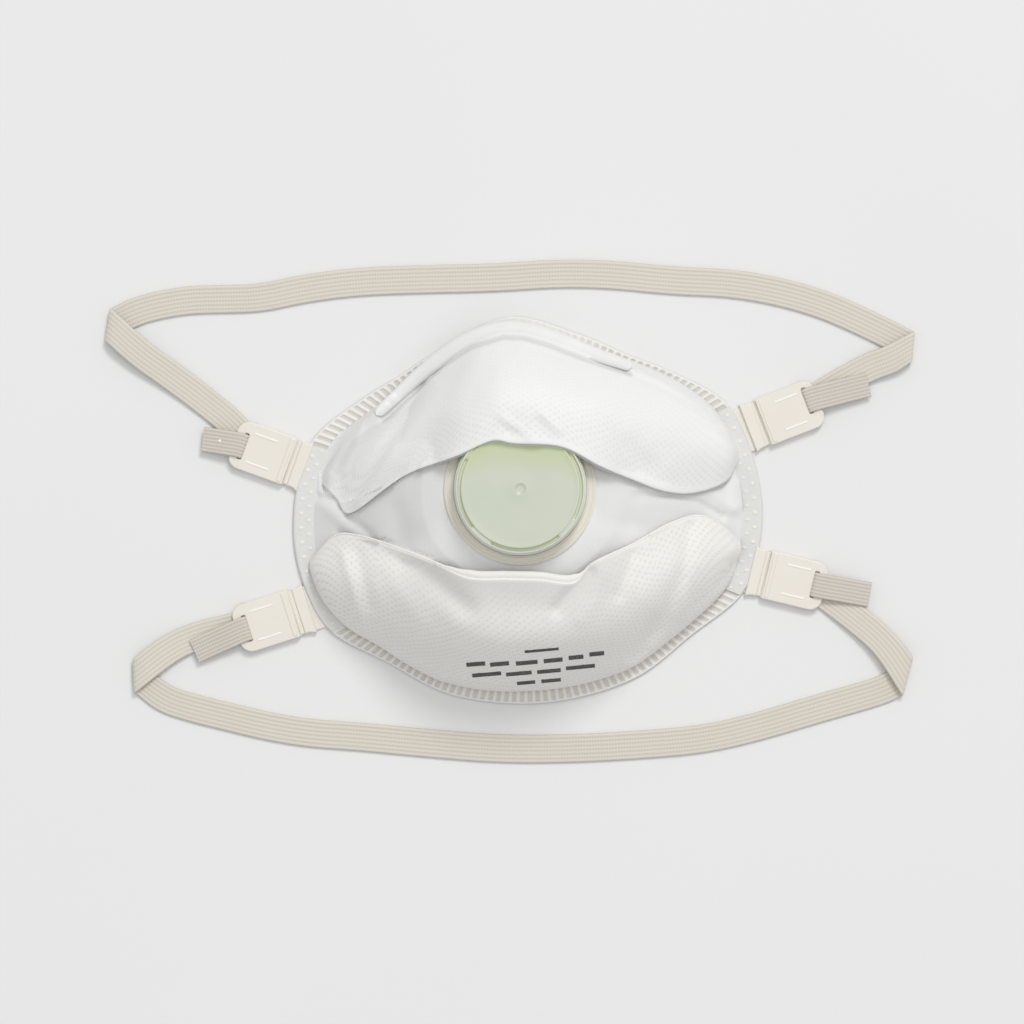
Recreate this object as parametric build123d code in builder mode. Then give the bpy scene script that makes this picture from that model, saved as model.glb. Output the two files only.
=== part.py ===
from build123d import *
import os
from math import atan2, cos, hypot, pi, radians, sin, tan

# A disposable cup-shaped dust mask with an exhalation valve, lying on its face side with its
# straps spread on the surface. +X is the wearer's side to side, +Y is towards the nose and +Z
# points out of the front of the mask. The sealing rim rests on Z = 0. All sizes are millimetres.

os.makedirs("parts", exist_ok=True)

# Driving dimensions: the rim's right half, from the nose peak to the chin.
RIM_HALF = [(0, 58), (20, 50.9), (34, 43.5), (46, 37.5), (61, 27.5), (67.5, 14), (70, -2),
            (68, -17), (61.5, -30.5), (46, -41), (26.4, -53), (0, -57.5)]
HALF_WIDTH = 70.0
RIM_WIDTH = 4.5            # welded edge over the nose and under the chin
SIDE_EXTRA = 2.5           # the edge is this much wider at the sides
RIM_THICK = 1.6
SIDE_TOP = 26.0            # the side strips run between these two heights
SIDE_BOTTOM = -31.0

VALVE_X = -1.5
VALVE_Y = 6.5
CUP_HEIGHT = 36.0          # outside of the centre panel under the valve
UPPER_HEIGHT = 48.5        # the upper panel's lip hangs over the top of the valve
LOWER_HEIGHT = 41.0
SEAT_RADIUS = 24.0         # flat front of the cup that carries the valve
UPPER_SEAT_RADIUS = 20.5
# The cup's wall in section: share of the height, and share of the way from the mouth to the
# valve's seat, at the sides and chin and then at the nose, where the wall flares out more.
WALL = [(0, 0, 0), (0.10, 0.09, 0.20), (0.25, 0.21, 0.32), (0.45, 0.37, 0.45),
        (0.65, 0.54, 0.58), (0.82, 0.70, 0.71), (0.94, 0.84, 0.84), (1, 1, 1)]

LINER = 0.5
FILTER = 1.2
PANEL = 0.7
GAP = 0.1                  # between one piece and the next
PANEL_INSET = 0.05         # from the welded edge to the outer panels

YOKE_THICK = 0.8
STRAP_WIDTH = 8.4
TAIL_WIDTH = 7.4
STRAP_THICK = 1.0
STRAP_TUBE = 3.2           # round section with the area of the flat strap
FLOOR_CLEAR = 0.1

BUCKLE_WIDTH = 14.6
BUCKLE_LENGTH = 18.7
BUCKLE_BOTTOM = 0.2
BUCKLE_TOP = 2.6
BUCKLE_CORNER = 3.6
HINGE_GAP = 0.45           # from the fold line to the plate on each side
NECK_INSIDE = 7.5          # how far the neck runs back under the fabric
WEB_LENGTH = 1.2           # plate thinned down beside the fold line
SLOT_START = 13.5
SLOT_END = 15.7
SLOT_WIDTH = 10.0
BAR_BOTTOM = 1.25
PRONG_START = 13.6
LINE_LENGTH = 7.5          # two raised lines along the plate
LINE_WIDTH = 0.5
LINE_HEIGHT = 0.25
LINE_FROM_MIDDLE = 4.4

# Each buckle: fold line's middle, direction it points in, the reach and turn of the strap's
# loose tail on top of it, and the reach and turn of the strap that leaves from beneath it.
BUCKLES = {
    "upper_left": (-68.2, 20.5, 155.0, 27.5, 7.0, 30.0, -20.0),
    "upper_right": (71.5, 19.5, 16.0, 34.2, -4.0, 36.5, 6.0),
    "lower_left": (-71.1, -23.9, 192.5, 32.4, 4.5, 34.5, -1.0),
    "lower_right": (68.4, -25.1, -18.7, 32.2, 3.3, 33.0, -21.0),
}

VALVE_FLANGE_R = 22.2
VALVE_FLANGE_T = 1.2
VALVE_BORE_R = 14.0
VALVE_SLEEVE_R = 15.0
VALVE_SEAT_WALL = 1.0
VALVE_SEAT_H = 1.8
SPOKE_WIDTH = 1.4
SPOKE_THICK = 1.2
HUB_R = 3.0
PIN_R = 1.2
COVER_R = 19.4
COVER_TOP_R = 17.3
COVER_SLOT_R = 18.2
COVER_HEIGHT = 8.4
COVER_WALL = 1.1
COVER_FILLET = 0.8
GATE_R = 1.5               # moulding dimple in the middle of the cover
GATE_DEPTH = 0.5
SNAP_RIM = 1.0             # ring that the cover snaps over
SNAP_RIM_H = 1.6
RING_R = 19.5              # retaining ring inside the cup
RING_T = 1.5
SLOT_ARC = 68.0
DIAPHRAGM_R = 15.2
DIAPHRAGM_T = 0.5
DIAPHRAGM_LIFT = 1.5

CLIP_WIDTH = 5.0
CLIP_THICK = 0.9
CLIP_REACH = 41.0
CLIP_EDGE = 0.4            # from the welded edge to the clip
FOAM_THICK = 4.0
FOAM_LENGTH = 76.0
FOAM_DEPTH = 50.0
FOAM_RISE = 14.0


def rim_width(point):
    """Width of the welded edge, which grows towards the two sides."""
    return RIM_WIDTH + SIDE_EXTRA * (point[0] / HALF_WIDTH) ** 4


def whole_rim():
    """The right half of the rim and its mirror image, in order round the mask."""
    left = [(-x, y) for x, y in RIM_HALF[-2:0:-1]]
    return RIM_HALF + left


def moved_in(point, distance):
    """The rim point moved straight towards the middle of the mask."""
    keep = 1 - distance / hypot(*point)
    return (point[0] * keep, point[1] * keep)


def closed_face(points, mode=Mode.ADD):
    """A smooth closed outline, as a face of the sketch that is open."""
    with BuildLine() as outline:
        Spline(*points, periodic=True)
    make_face(outline.line.edges(), mode=mode)


def rim_ring():
    """The welded edge seen from the front: the rim less the mouth of the cup."""
    closed_face(whole_rim())
    mouth = [moved_in(point, rim_width(point)) for point in whole_rim()]
    closed_face(mouth, mode=Mode.SUBTRACT)


def cup(inset, height, seat_radius, mode=Mode.ADD):
    """A closed cup: level sections that go from the mouth to the round seat of the valve."""
    sections = []
    for rise, in_at_side, in_at_nose in WALL:
        points = []
        for rim_point in whole_rim():
            x, y = moved_in(rim_point, rim_width(rim_point) + inset)
            angle = atan2(rim_point[1], rim_point[0])
            nose_share = max(0.0, sin(angle)) ** 2
            share = in_at_side + (in_at_nose - in_at_side) * nose_share
            seat_x = VALVE_X + (seat_radius - inset) * cos(angle)
            seat_y = VALVE_Y + (seat_radius - inset) * sin(angle)
            points.append((x + (seat_x - x) * share, y + (seat_y - y) * share))
        with BuildSketch(Plane.XY.offset(height * rise)) as section:
            closed_face(points)
        sections.append(section.sketch)
    loft(sections=sections, ruled=True, mode=mode)


def cup_shell(inset, height, thick, seat_radius=SEAT_RADIUS):
    """A cup of the given wall: one cup with another taken out of it."""
    cup(inset, height, seat_radius)
    cup(inset + thick, height - thick, seat_radius, mode=Mode.SUBTRACT)


def eye_outline(margin):
    """The opening between the two lips, where the centre panel shows."""
    with BuildLine() as eye:
        Spline((-66, 10), (-53, 8 + margin), (-34, 14 + margin), (-7, 21 + margin),
               (22, 12 + margin), (42, 4 + margin), (66, 6))
        Line((66, 6), (66, -10))
        Spline((66, -10), (44, -8 - margin), (30, -13 - margin), (8, -21.5 - margin),
               (-19, -18 - margin), (-36, -9 - margin), (-66, -6))
        Line((-66, -6), (-66, 10))
    make_face(eye.line.edges())


def plane_of(buckle):
    """The buckle's own plane: X points outwards from its fold line."""
    x, y, turn = BUCKLES[buckle][:3]
    x_dir = (cos(radians(turn)), sin(radians(turn)), 0)
    return Plane(origin=(x, y, 0), x_dir=x_dir, z_dir=(0, 0, 1))


def neck_outline(margin):
    """The neck that joins a buckle to the yoke, in the buckle's own plane."""
    with Locations((-HINGE_GAP - NECK_INSIDE / 2, 0)):
        Rectangle(NECK_INSIDE, BUCKLE_WIDTH - 1 + 2 * margin)


def save(part, name):
    part.label = name
    export_step(part, f"parts/{name}.step")


# ---- Fabric layers, from the face outwards ----
filter_inset = PANEL + 2 * GAP
liner_inset = filter_inset + FILTER + GAP
with BuildPart() as inner_liner:
    cup_shell(liner_inset, CUP_HEIGHT - liner_inset, LINER)
    with Locations((VALVE_X, VALVE_Y, CUP_HEIGHT)):
        Cylinder(VALVE_SLEEVE_R + GAP, 20, mode=Mode.SUBTRACT)
save(inner_liner.part, "inner_liner")

with BuildPart() as filter_layer:
    cup_shell(filter_inset, CUP_HEIGHT - filter_inset, FILTER)
    with Locations((VALVE_X, VALVE_Y, CUP_HEIGHT)):
        Cylinder(VALVE_SLEEVE_R + GAP, 20, mode=Mode.SUBTRACT)
save(filter_layer.part, "filter_layer")

with BuildPart() as centre_panel:
    cup_shell(PANEL_INSET, CUP_HEIGHT, PANEL)
    with BuildSketch():
        eye_outline(-GAP)
    extrude(amount=UPPER_HEIGHT + 5, mode=Mode.INTERSECT)
    with Locations((VALVE_X, VALVE_Y, CUP_HEIGHT)):
        Cylinder(VALVE_SLEEVE_R + GAP, 20, mode=Mode.SUBTRACT)
save(centre_panel.part, "centre_panel")

PANELS = {
    "upper_panel": (UPPER_HEIGHT, UPPER_SEAT_RADIUS, 1),
    "lower_panel": (LOWER_HEIGHT, SEAT_RADIUS, -1),
}
for name, (height, seat_radius, side) in PANELS.items():
    with BuildPart() as panel:
        cup_shell(PANEL_INSET, height, PANEL, seat_radius)
        with BuildSketch():
            eye_outline(0)
        extrude(amount=UPPER_HEIGHT + 5, mode=Mode.SUBTRACT)
        with Locations((0, side * 60, 30)):
            Box(160, 120, 70, mode=Mode.INTERSECT)
    save(panel.part, name)

# ---- Welded edge: thick over the nose and under the chin, thin at the sides over the yokes ----
RIM_PARTS = {
    "rim_weld_upper": (SIDE_TOP + 0.1, 70),
    "rim_weld_lower": (-70, SIDE_BOTTOM - 0.1),
}
for name, (low, high) in RIM_PARTS.items():
    with BuildPart() as rim_part:
        with BuildSketch():
            rim_ring()
            with Locations((0, (low + high) / 2)):
                Rectangle(160, high - low, mode=Mode.INTERSECT)
        extrude(amount=RIM_THICK)
        for buckle in BUCKLES:
            with BuildSketch(plane_of(buckle)):
                neck_outline(0.2)
            extrude(amount=YOKE_THICK + GAP, mode=Mode.SUBTRACT)
    save(rim_part.part, name)

side_middle = (SIDE_TOP + SIDE_BOTTOM) / 2
side_length = SIDE_TOP - SIDE_BOTTOM
for side_name, side in {"left": -1, "right": 1}.items():
    with BuildPart() as side_strip:
        with BuildSketch(Plane.XY.offset(YOKE_THICK + GAP)):
            rim_ring()
            with Locations((side * 40, side_middle)):
                Rectangle(80, side_length, mode=Mode.INTERSECT)
        extrude(amount=RIM_THICK - YOKE_THICK - GAP)
    save(side_strip.part, f"side_strip_{side_name}")

    with BuildPart() as side_yoke:
        with BuildSketch():
            rim_ring()
            with Locations((side * 40, side_middle)):
                Rectangle(80, side_length - 0.2, mode=Mode.INTERSECT)
        extrude(amount=YOKE_THICK)
        for level in ("upper", "lower"):
            with BuildSketch(plane_of(f"{level}_{side_name}")):
                neck_outline(0)
            extrude(amount=YOKE_THICK)
    save(side_yoke.part, f"side_yoke_{side_name}")

# ---- Buckles and the strap ends looped round their end bars ----
for buckle, (_, _, _, tail_reach, tail_turn, strap_reach, strap_turn) in BUCKLES.items():
    plane = plane_of(buckle)
    body_length = BUCKLE_LENGTH - HINGE_GAP
    with BuildPart() as plate:
        with BuildSketch(plane.offset(BUCKLE_BOTTOM)):
            with Locations((HINGE_GAP + body_length / 2, 0)):
                Rectangle(body_length, BUCKLE_WIDTH)
        extrude(amount=BUCKLE_TOP - BUCKLE_BOTTOM)
        outer_corners = plate.edges().filter_by(Axis.Z).sort_by_distance(
            plane.from_local_coords(Vector(BUCKLE_LENGTH, 0, 0)))[:2]
        fillet(outer_corners, BUCKLE_CORNER)
        # the fold line's side is planed down to the thin web
        with BuildSketch(plane.offset(YOKE_THICK)):
            with Locations((HINGE_GAP + WEB_LENGTH / 2, 0)):
                Rectangle(WEB_LENGTH, BUCKLE_WIDTH + 1)
        extrude(amount=5, mode=Mode.SUBTRACT)
        # the end bar is raised so that the strap can pass beneath it
        with BuildSketch(plane):
            with Locations(((SLOT_START + BUCKLE_LENGTH + 1) / 2, 0)):
                Rectangle(BUCKLE_LENGTH + 1 - SLOT_START, BUCKLE_WIDTH + 1)
        extrude(amount=BAR_BOTTOM, mode=Mode.SUBTRACT)
        with BuildSketch(plane):
            with Locations(((SLOT_START + SLOT_END) / 2, 0)):
                Rectangle(SLOT_END - SLOT_START, SLOT_WIDTH)
        extrude(amount=5, mode=Mode.SUBTRACT)
        # two thin raised lines along the plate
        with BuildSketch(plane.offset(BUCKLE_TOP)):
            with Locations((LINE_LENGTH, LINE_FROM_MIDDLE), (LINE_LENGTH, -LINE_FROM_MIDDLE)):
                Rectangle(LINE_LENGTH, LINE_WIDTH)
        extrude(amount=LINE_HEIGHT)
    save(plate.part, f"buckle_{buckle}")

    upper_layer = BUCKLE_TOP + GAP
    layers = (
        (FLOOR_CLEAR, strap_reach, strap_turn, STRAP_WIDTH),
        (upper_layer, tail_reach, tail_turn, TAIL_WIDTH),
    )
    with BuildPart() as strap_end:
        for height, reach, turn, width in layers:
            run = reach - PRONG_START
            tip = Vector(reach, run * tan(radians(turn)))
            across = Vector(-sin(radians(turn)), cos(radians(turn))) * (width / 2)
            near = TAIL_WIDTH / 2
            with BuildSketch(plane.offset(height)):
                with BuildLine():
                    Polyline((PRONG_START, -near), tip - across, tip + across,
                             (PRONG_START, near), close=True)
                make_face()
            extrude(amount=STRAP_THICK)
        with BuildSketch(plane.offset(FLOOR_CLEAR)):
            with Locations((PRONG_START + STRAP_THICK / 2, 0)):
                Rectangle(STRAP_THICK, TAIL_WIDTH)
        extrude(amount=upper_layer + STRAP_THICK - FLOOR_CLEAR)
    save(strap_end.part, f"strap_end_{buckle}")


# ---- Straps: their routes on the surface, from the left buckle to the right one ----
def strap_start(buckle):
    """Where the looped end hands over to the free strap."""
    _, _, _, _, _, reach, turn = BUCKLES[buckle]
    local = Vector(reach, (reach - PRONG_START) * tan(radians(turn)), 0)
    return plane_of(buckle).from_local_coords(local)


UPPER_ROUTE = [(-100, 46), (-108, 52.5), (-114.5, 58.5), (-117, 65), (-111.5, 70), (-101, 71.5),
               (-84, 71), (-60, 72), (-38, 72.5), (-14, 70.5), (10, 70), (34, 67), (58, 63),
               (79, 58), (95, 51.5), (108, 45.5), (115.5, 41), (117, 36), (112.5, 33)]
LOWER_ROUTE = [(-111, -32.5), (-117, -36), (-118, -42), (-111, -47.5), (-98, -51.5),
               (-78, -58), (-54, -62.5), (-28, -68.5), (0, -71.5), (26, -72.5), (50, -72),
               (72, -69), (90, -65), (101.5, -61), (105.5, -54.5), (102, -47)]
ROUTES = {"upper_strap": ("upper", UPPER_ROUTE), "lower_strap": ("lower", LOWER_ROUTE)}
END_GAP = 0.6

for name, (level, middle) in ROUTES.items():
    height = FLOOR_CLEAR + STRAP_TUBE / 2
    ends = []
    for side_name, neighbour in (("left", middle[0]), ("right", middle[-1])):
        start = strap_start(f"{level}_{side_name}")
        towards = (Vector(neighbour[0], neighbour[1], 0) - start).normalized()
        ends.append(start + towards * END_GAP)
    flat = [(ends[0].X, ends[0].Y)] + middle + [(ends[1].X, ends[1].Y)]
    points = [Vector(x, y, height) for x, y in flat]
    radii = []
    for before, corner, after in zip(points, points[1:], points[2:]):
        run = min((corner - before).length, (after - corner).length)
        turn = (corner - before).get_angle(after - corner)
        radii.append(0.45 * run / tan(radians(turn / 2)))
    print(name, "radii", [round(r, 1) for r in radii])
    with BuildPart() as strap:
        with BuildLine() as route:
            FilletPolyline(*points, radius=radii)
        with BuildSketch(Plane(origin=route.line @ 0, z_dir=route.line % 0)):
            Circle(STRAP_TUBE / 2)
        sweep(path=route.line)
    length = sum(edge.length for edge in route.edges())
    section = pi * (STRAP_TUBE / 2) ** 2
    print(name, "length", round(length, 1), "volume", round(strap.part.volume, 1),
          "section x length", round(section * length, 1))
    save(strap.part, name)

# ---- Nose clip on the outside of the upper panel, foam pad inside the liner ----
with BuildPart() as nose_clip:
    cup_shell(-CLIP_THICK, UPPER_HEIGHT + CLIP_THICK, CLIP_THICK - GAP, UPPER_SEAT_RADIUS)
    with BuildSketch():
        for edge, mode in ((CLIP_EDGE, Mode.ADD), (CLIP_EDGE + CLIP_WIDTH, Mode.SUBTRACT)):
            band = [moved_in(point, rim_width(point) + edge) for point in whole_rim()]
            closed_face(band, mode=mode)
        with Locations((0, 40)):
            Rectangle(2 * CLIP_REACH, 60, mode=Mode.INTERSECT)
    extrude(amount=20, mode=Mode.INTERSECT)
save(nose_clip.part, "nose_clip")

foam_inset = liner_inset + LINER + GAP
with BuildPart() as nose_foam:
    cup_shell(foam_inset, CUP_HEIGHT - foam_inset, FOAM_THICK)
    with Locations((0, 45, 11)):
        Box(FOAM_LENGTH, FOAM_DEPTH, FOAM_RISE, mode=Mode.INTERSECT)
save(nose_foam.part, "nose_foam")

# ---- Exhalation valve ----
seat_plane = CUP_HEIGHT + 0.05
inner_face = CUP_HEIGHT - liner_inset - LINER - GAP
valve_origin = (VALVE_X, VALVE_Y, 0)
valve_plane = Plane(origin=valve_origin)
flange_top = seat_plane + VALVE_FLANGE_T
seat_top = flange_top + VALVE_SEAT_H
sleeve_depth = RING_T + 0.7    # the sleeve's end stands out below the ring

with BuildPart() as valve_base:
    with BuildSketch(valve_plane.offset(seat_plane)):
        Circle(VALVE_FLANGE_R)
        Circle(VALVE_BORE_R, mode=Mode.SUBTRACT)
    extrude(amount=VALVE_FLANGE_T)
    # sleeve through the fabric, clamped from inside by the retaining ring
    with BuildSketch(valve_plane.offset(inner_face - sleeve_depth)):
        Circle(VALVE_SLEEVE_R)
        Circle(VALVE_BORE_R, mode=Mode.SUBTRACT)
    extrude(amount=flange_top - inner_face + sleeve_depth)
    # raised seat that the diaphragm closes on
    with BuildSketch(valve_plane.offset(flange_top)):
        Circle(VALVE_BORE_R + VALVE_SEAT_WALL / 2)
        Circle(VALVE_BORE_R - VALVE_SEAT_WALL / 2, mode=Mode.SUBTRACT)
    extrude(amount=seat_top - flange_top)
    # spokes and the pin that holds the diaphragm's middle
    with BuildSketch(valve_plane.offset(flange_top - SPOKE_THICK / 2)):
        Circle(HUB_R)
        with PolarLocations(0, 4):
            with Locations(((VALVE_BORE_R + GAP) / 2, 0)):
                Rectangle(VALVE_BORE_R + GAP, SPOKE_WIDTH)
    extrude(amount=SPOKE_THICK)
    with BuildSketch(valve_plane.offset(flange_top)):
        Circle(PIN_R)
    extrude(amount=seat_top - flange_top + DIAPHRAGM_T + DIAPHRAGM_LIFT + 0.8)
    # rim that the cover snaps over
    with BuildSketch(valve_plane.offset(flange_top)):
        Circle(COVER_R - COVER_WALL - GAP)
        Circle(COVER_R - COVER_WALL - GAP - SNAP_RIM, mode=Mode.SUBTRACT)
    extrude(amount=SNAP_RIM_H)
save(valve_base.part, "valve_base")

with BuildPart() as valve_diaphragm:
    with BuildSketch(valve_plane.offset(seat_top + 0.02)):
        Circle(DIAPHRAGM_R)
        Circle(PIN_R + GAP, mode=Mode.SUBTRACT)
    extrude(amount=DIAPHRAGM_T)
save(valve_diaphragm.part, "valve_diaphragm")

cover_bottom = flange_top + 0.05
with BuildPart() as valve_cover:
    with BuildSketch(valve_plane.offset(cover_bottom)):
        Circle(COVER_R)
    extrude(amount=COVER_HEIGHT)
    top_edge = valve_cover.faces().sort_by(Axis.Z)[-1].edges()
    fillet(top_edge, COVER_FILLET)
    with BuildSketch(valve_plane.offset(cover_bottom)):
        Circle(COVER_R - COVER_WALL)
    extrude(amount=COVER_HEIGHT - COVER_WALL, mode=Mode.SUBTRACT)
    # four curved slots round the top let the breath out
    with BuildSketch(valve_plane.offset(cover_bottom + COVER_HEIGHT / 2)):
        Circle(COVER_SLOT_R)
        Circle(COVER_TOP_R - 0.4, mode=Mode.SUBTRACT)
        with PolarLocations(0, 4, start_angle=45):
            with Locations((COVER_TOP_R, 0)):
                Rectangle(4, 2 * COVER_TOP_R * sin(radians((90 - SLOT_ARC) / 2)),
                          mode=Mode.SUBTRACT)
    extrude(amount=COVER_HEIGHT, mode=Mode.SUBTRACT)
    # gate dimple in the middle of the cover
    with Locations((VALVE_X, VALVE_Y, cover_bottom + COVER_HEIGHT)):
        Cylinder(GATE_R, GATE_DEPTH, mode=Mode.SUBTRACT)
save(valve_cover.part, "valve_cover")

with BuildPart() as valve_retaining_ring:
    with BuildSketch(valve_plane.offset(inner_face - GAP - RING_T)):
        Circle(RING_R)
        Circle(VALVE_SLEEVE_R + PANEL_INSET, mode=Mode.SUBTRACT)
    extrude(amount=RING_T)
save(valve_retaining_ring.part, "valve_retaining_ring")
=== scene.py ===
"""The looks of a disposable dust mask: nonwoven panels, welded edge, valve, nose clip, buckles and
elastic straps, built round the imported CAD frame. Lengths in this script are millimetres, and
piece() turns them into Blender's metres."""

from math import atan2, cos, hypot, pi, radians, sin

import bpy
import numpy as np
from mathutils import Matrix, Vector
from mathutils.bvhtree import BVHTree


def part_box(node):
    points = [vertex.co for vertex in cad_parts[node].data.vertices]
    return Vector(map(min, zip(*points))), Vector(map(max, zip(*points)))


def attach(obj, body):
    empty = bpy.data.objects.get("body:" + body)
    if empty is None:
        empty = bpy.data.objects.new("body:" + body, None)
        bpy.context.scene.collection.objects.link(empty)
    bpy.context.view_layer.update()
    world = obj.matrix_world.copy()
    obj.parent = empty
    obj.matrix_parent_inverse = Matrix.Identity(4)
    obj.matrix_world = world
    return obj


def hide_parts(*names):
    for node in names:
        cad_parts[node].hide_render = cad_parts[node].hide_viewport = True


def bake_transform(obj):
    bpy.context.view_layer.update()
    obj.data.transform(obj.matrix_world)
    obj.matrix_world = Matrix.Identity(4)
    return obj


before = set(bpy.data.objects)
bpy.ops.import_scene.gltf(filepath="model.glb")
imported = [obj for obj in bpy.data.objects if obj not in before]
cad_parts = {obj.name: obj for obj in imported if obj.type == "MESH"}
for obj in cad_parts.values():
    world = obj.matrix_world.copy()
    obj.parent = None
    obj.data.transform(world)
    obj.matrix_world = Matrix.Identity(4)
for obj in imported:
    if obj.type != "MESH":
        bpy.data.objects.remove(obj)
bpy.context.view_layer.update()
MM = 0.001

# The rim's right half, from the nose peak to the chin, and the mask's other driving sizes.
RIM_HALF = [(0, 58), (20, 50.9), (34, 43.5), (46, 37.5), (61, 27.5), (67.5, 14), (70, -2),
            (68, -17), (61.5, -30.5), (46, -41), (26.4, -53), (0, -57.5)]
RIM = RIM_HALF + [(-x, y) for x, y in RIM_HALF[-2:0:-1]]
HALF_WIDTH = 70.0
RIM_WIDTH = 4.5
SIDE_EXTRA = 2.5
CUP_HEIGHT = 36.0
SEAT_RADIUS = 24.0
# The cup's wall from rim to valve: how high it is, and how far in at the sides and over the nose.
WALL = [(0, 0, 0), (0.10, 0.09, 0.20), (0.25, 0.21, 0.32), (0.45, 0.37, 0.45),
        (0.65, 0.54, 0.58), (0.82, 0.70, 0.71), (0.94, 0.84, 0.84), (1, 1, 1)]

valve_low, valve_high = (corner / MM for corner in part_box("valve_cover"))
VALVE_X = (valve_low.x + valve_high.x) / 2
VALVE_Y = (valve_low.y + valve_high.y) / 2
VALVE_TOP = valve_high.z

STRAP_WIDTH = 8.4
TAIL_WIDTH = 7.4
STRAP_THICK = 0.9
BUCKLE_WIDTH = 14.6
BUCKLE_LENGTH = 18.7
# Each buckle: its fold line's middle, and the direction it points in.
BUCKLES = {
    "upper_left": (-68.2, 20.5, 155.0),
    "upper_right": (71.5, 19.5, 16.0),
    "lower_left": (-71.1, -23.9, 192.5),
    "lower_right": (68.4, -25.1, -18.7),
}


# ---- Camera, lights and floor ----
# The camera's height and the lights' places and sizes are in metres.
CAMERA_HEIGHT = 2.0
CAMERA_LENS = 236.0
PICTURE_TURN = -5.2
WORLD_STRENGTH = 0.56
FLOOR_DROP = 0.05


def add_camera():
    """Straight above the mask, which lies turned a little in the picture."""
    data = bpy.data.cameras.new("camera")
    data.sensor_width = 36.0
    data.lens = CAMERA_LENS
    data.clip_end = 20.0
    camera = bpy.data.objects.new("camera", data)
    camera.location = (-4.5 * MM, 0, CAMERA_HEIGHT)
    camera.rotation_euler = (0, 0, radians(PICTURE_TURN))
    bpy.context.scene.collection.objects.link(camera)
    bpy.context.scene.camera = camera


def add_light(name, place, size, power):
    data = bpy.data.lights.new(name, "AREA")
    data.shape = "DISK"
    data.size = size
    data.energy = power
    light = bpy.data.objects.new(name, data)
    light.location = place
    light.rotation_euler = (-Vector(place)).to_track_quat("-Z", "Y").to_euler()
    bpy.context.scene.collection.objects.link(light)


def add_stage():
    world = bpy.data.worlds.new("studio")
    world.use_nodes = True
    light = world.node_tree.nodes["Background"].inputs
    light["Color"].default_value = (1, 1, 1, 1)
    light["Strength"].default_value = WORLD_STRENGTH
    bpy.context.scene.world = world
    bpy.context.scene.view_settings.view_transform = "Standard"
    add_light("key_light", (1.7, 3.5, 4.6), 2.0, 150.0)
    add_light("fill_light", (0.6, 0.4, 6.4), 4.8, 80.0)
    look, tree, shader = material("floor", 0.9)
    tone = noise(tree, 6.0, 2.0)
    ramp(tree, tone, shader.inputs["Base Color"], (0.3, *[0.775] * 3), (0.7, *[0.785] * 3))
    bpy.ops.mesh.primitive_grid_add(x_subdivisions=4, y_subdivisions=4, size=4.0)
    floor = bpy.context.object
    floor.name = "floor"
    floor.location.z = -FLOOR_DROP * MM
    floor.data.materials.append(look)


# ---- Materials ----
def material(name, roughness, **sockets):
    """A material with a Principled shader whose even values are set on its own sockets."""
    look = bpy.data.materials.new(name)
    look.use_nodes = True
    tree = look.node_tree
    shader = tree.nodes["Principled BSDF"]
    shader.inputs["Roughness"].default_value = roughness
    for socket, value in sockets.items():
        shader.inputs[socket.replace("_", " ")].default_value = value
    return look, tree, shader


def node(tree, kind, inputs=(), **settings):
    """A node with its settings and inputs: an input is a number, a colour or another's output."""
    made = tree.nodes.new(kind)
    for key, value in settings.items():
        setattr(made, key, value)
    for key, value in dict(inputs).items():
        if isinstance(value, bpy.types.NodeSocket):
            tree.links.new(value, made.inputs[key])
        else:
            made.inputs[key].default_value = value
    return made


def position(tree):
    return node(tree, "ShaderNodeTexCoord").outputs["Object"]


def noise(tree, scale, detail=4.0, distortion=0.0, vector=None):
    vector = vector or position(tree)
    made = node(tree, "ShaderNodeTexNoise", {"Vector": vector, "Scale": scale, "Detail": detail,
                                             "Distortion": distortion})
    return made.outputs["Fac"]


def maths(tree, operation, a, b=0.0):
    return node(tree, "ShaderNodeMath", {0: a, 1: b}, operation=operation).outputs[0]


def mix(tree, share, a, b):
    """Colour a turning into colour b by share."""
    made = node(tree, "ShaderNodeMix", {0: share, 6: a, 7: b}, data_type="RGBA")
    return made.outputs[2]


def ramp(tree, value, target, *stops):
    """Colours value by the stops (place, red, green, blue), and feeds target."""
    made = node(tree, "ShaderNodeValToRGB", {"Fac": value})
    elements = made.color_ramp.elements
    while len(elements) < len(stops):
        elements.new(0.5)
    for element, (place, *colour) in zip(elements, stops):
        element.position = place
        element.color = (*colour, 1)
    if target:
        tree.links.new(made.outputs["Color"], target)
    return made.outputs["Color"]


def bump(tree, shader, height, distance, strength):
    made = node(tree, "ShaderNodeBump", {"Height": height, "Distance": distance,
                                         "Strength": strength})
    tree.links.new(made.outputs["Normal"], shader.inputs["Normal"])


def paint(tree, shader, colour):
    tree.links.new(colour, shader.inputs["Base Color"])


def times(colour, share):
    """A darker colour, as a socket's value."""
    return (*[c * share for c in colour], 1)


def attribute(tree, name):
    return node(tree, "ShaderNodeAttribute", attribute_name=name).outputs["Fac"]


def fibres(tree):
    """The fine random fibres of a nonwoven, drawn out along two directions."""
    place = position(tree)
    layers = []
    for turn in (0.5, 2.1):
        turned = node(tree, "ShaderNodeMapping", {"Vector": place, "Rotation": (0, 0, turn),
                                                  "Scale": (900, 5200, 2500)})
        layers.append(noise(tree, 1.0, 3.0, 1.2, turned.outputs[0]))
    return maths(tree, "MAXIMUM", *layers)


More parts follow.
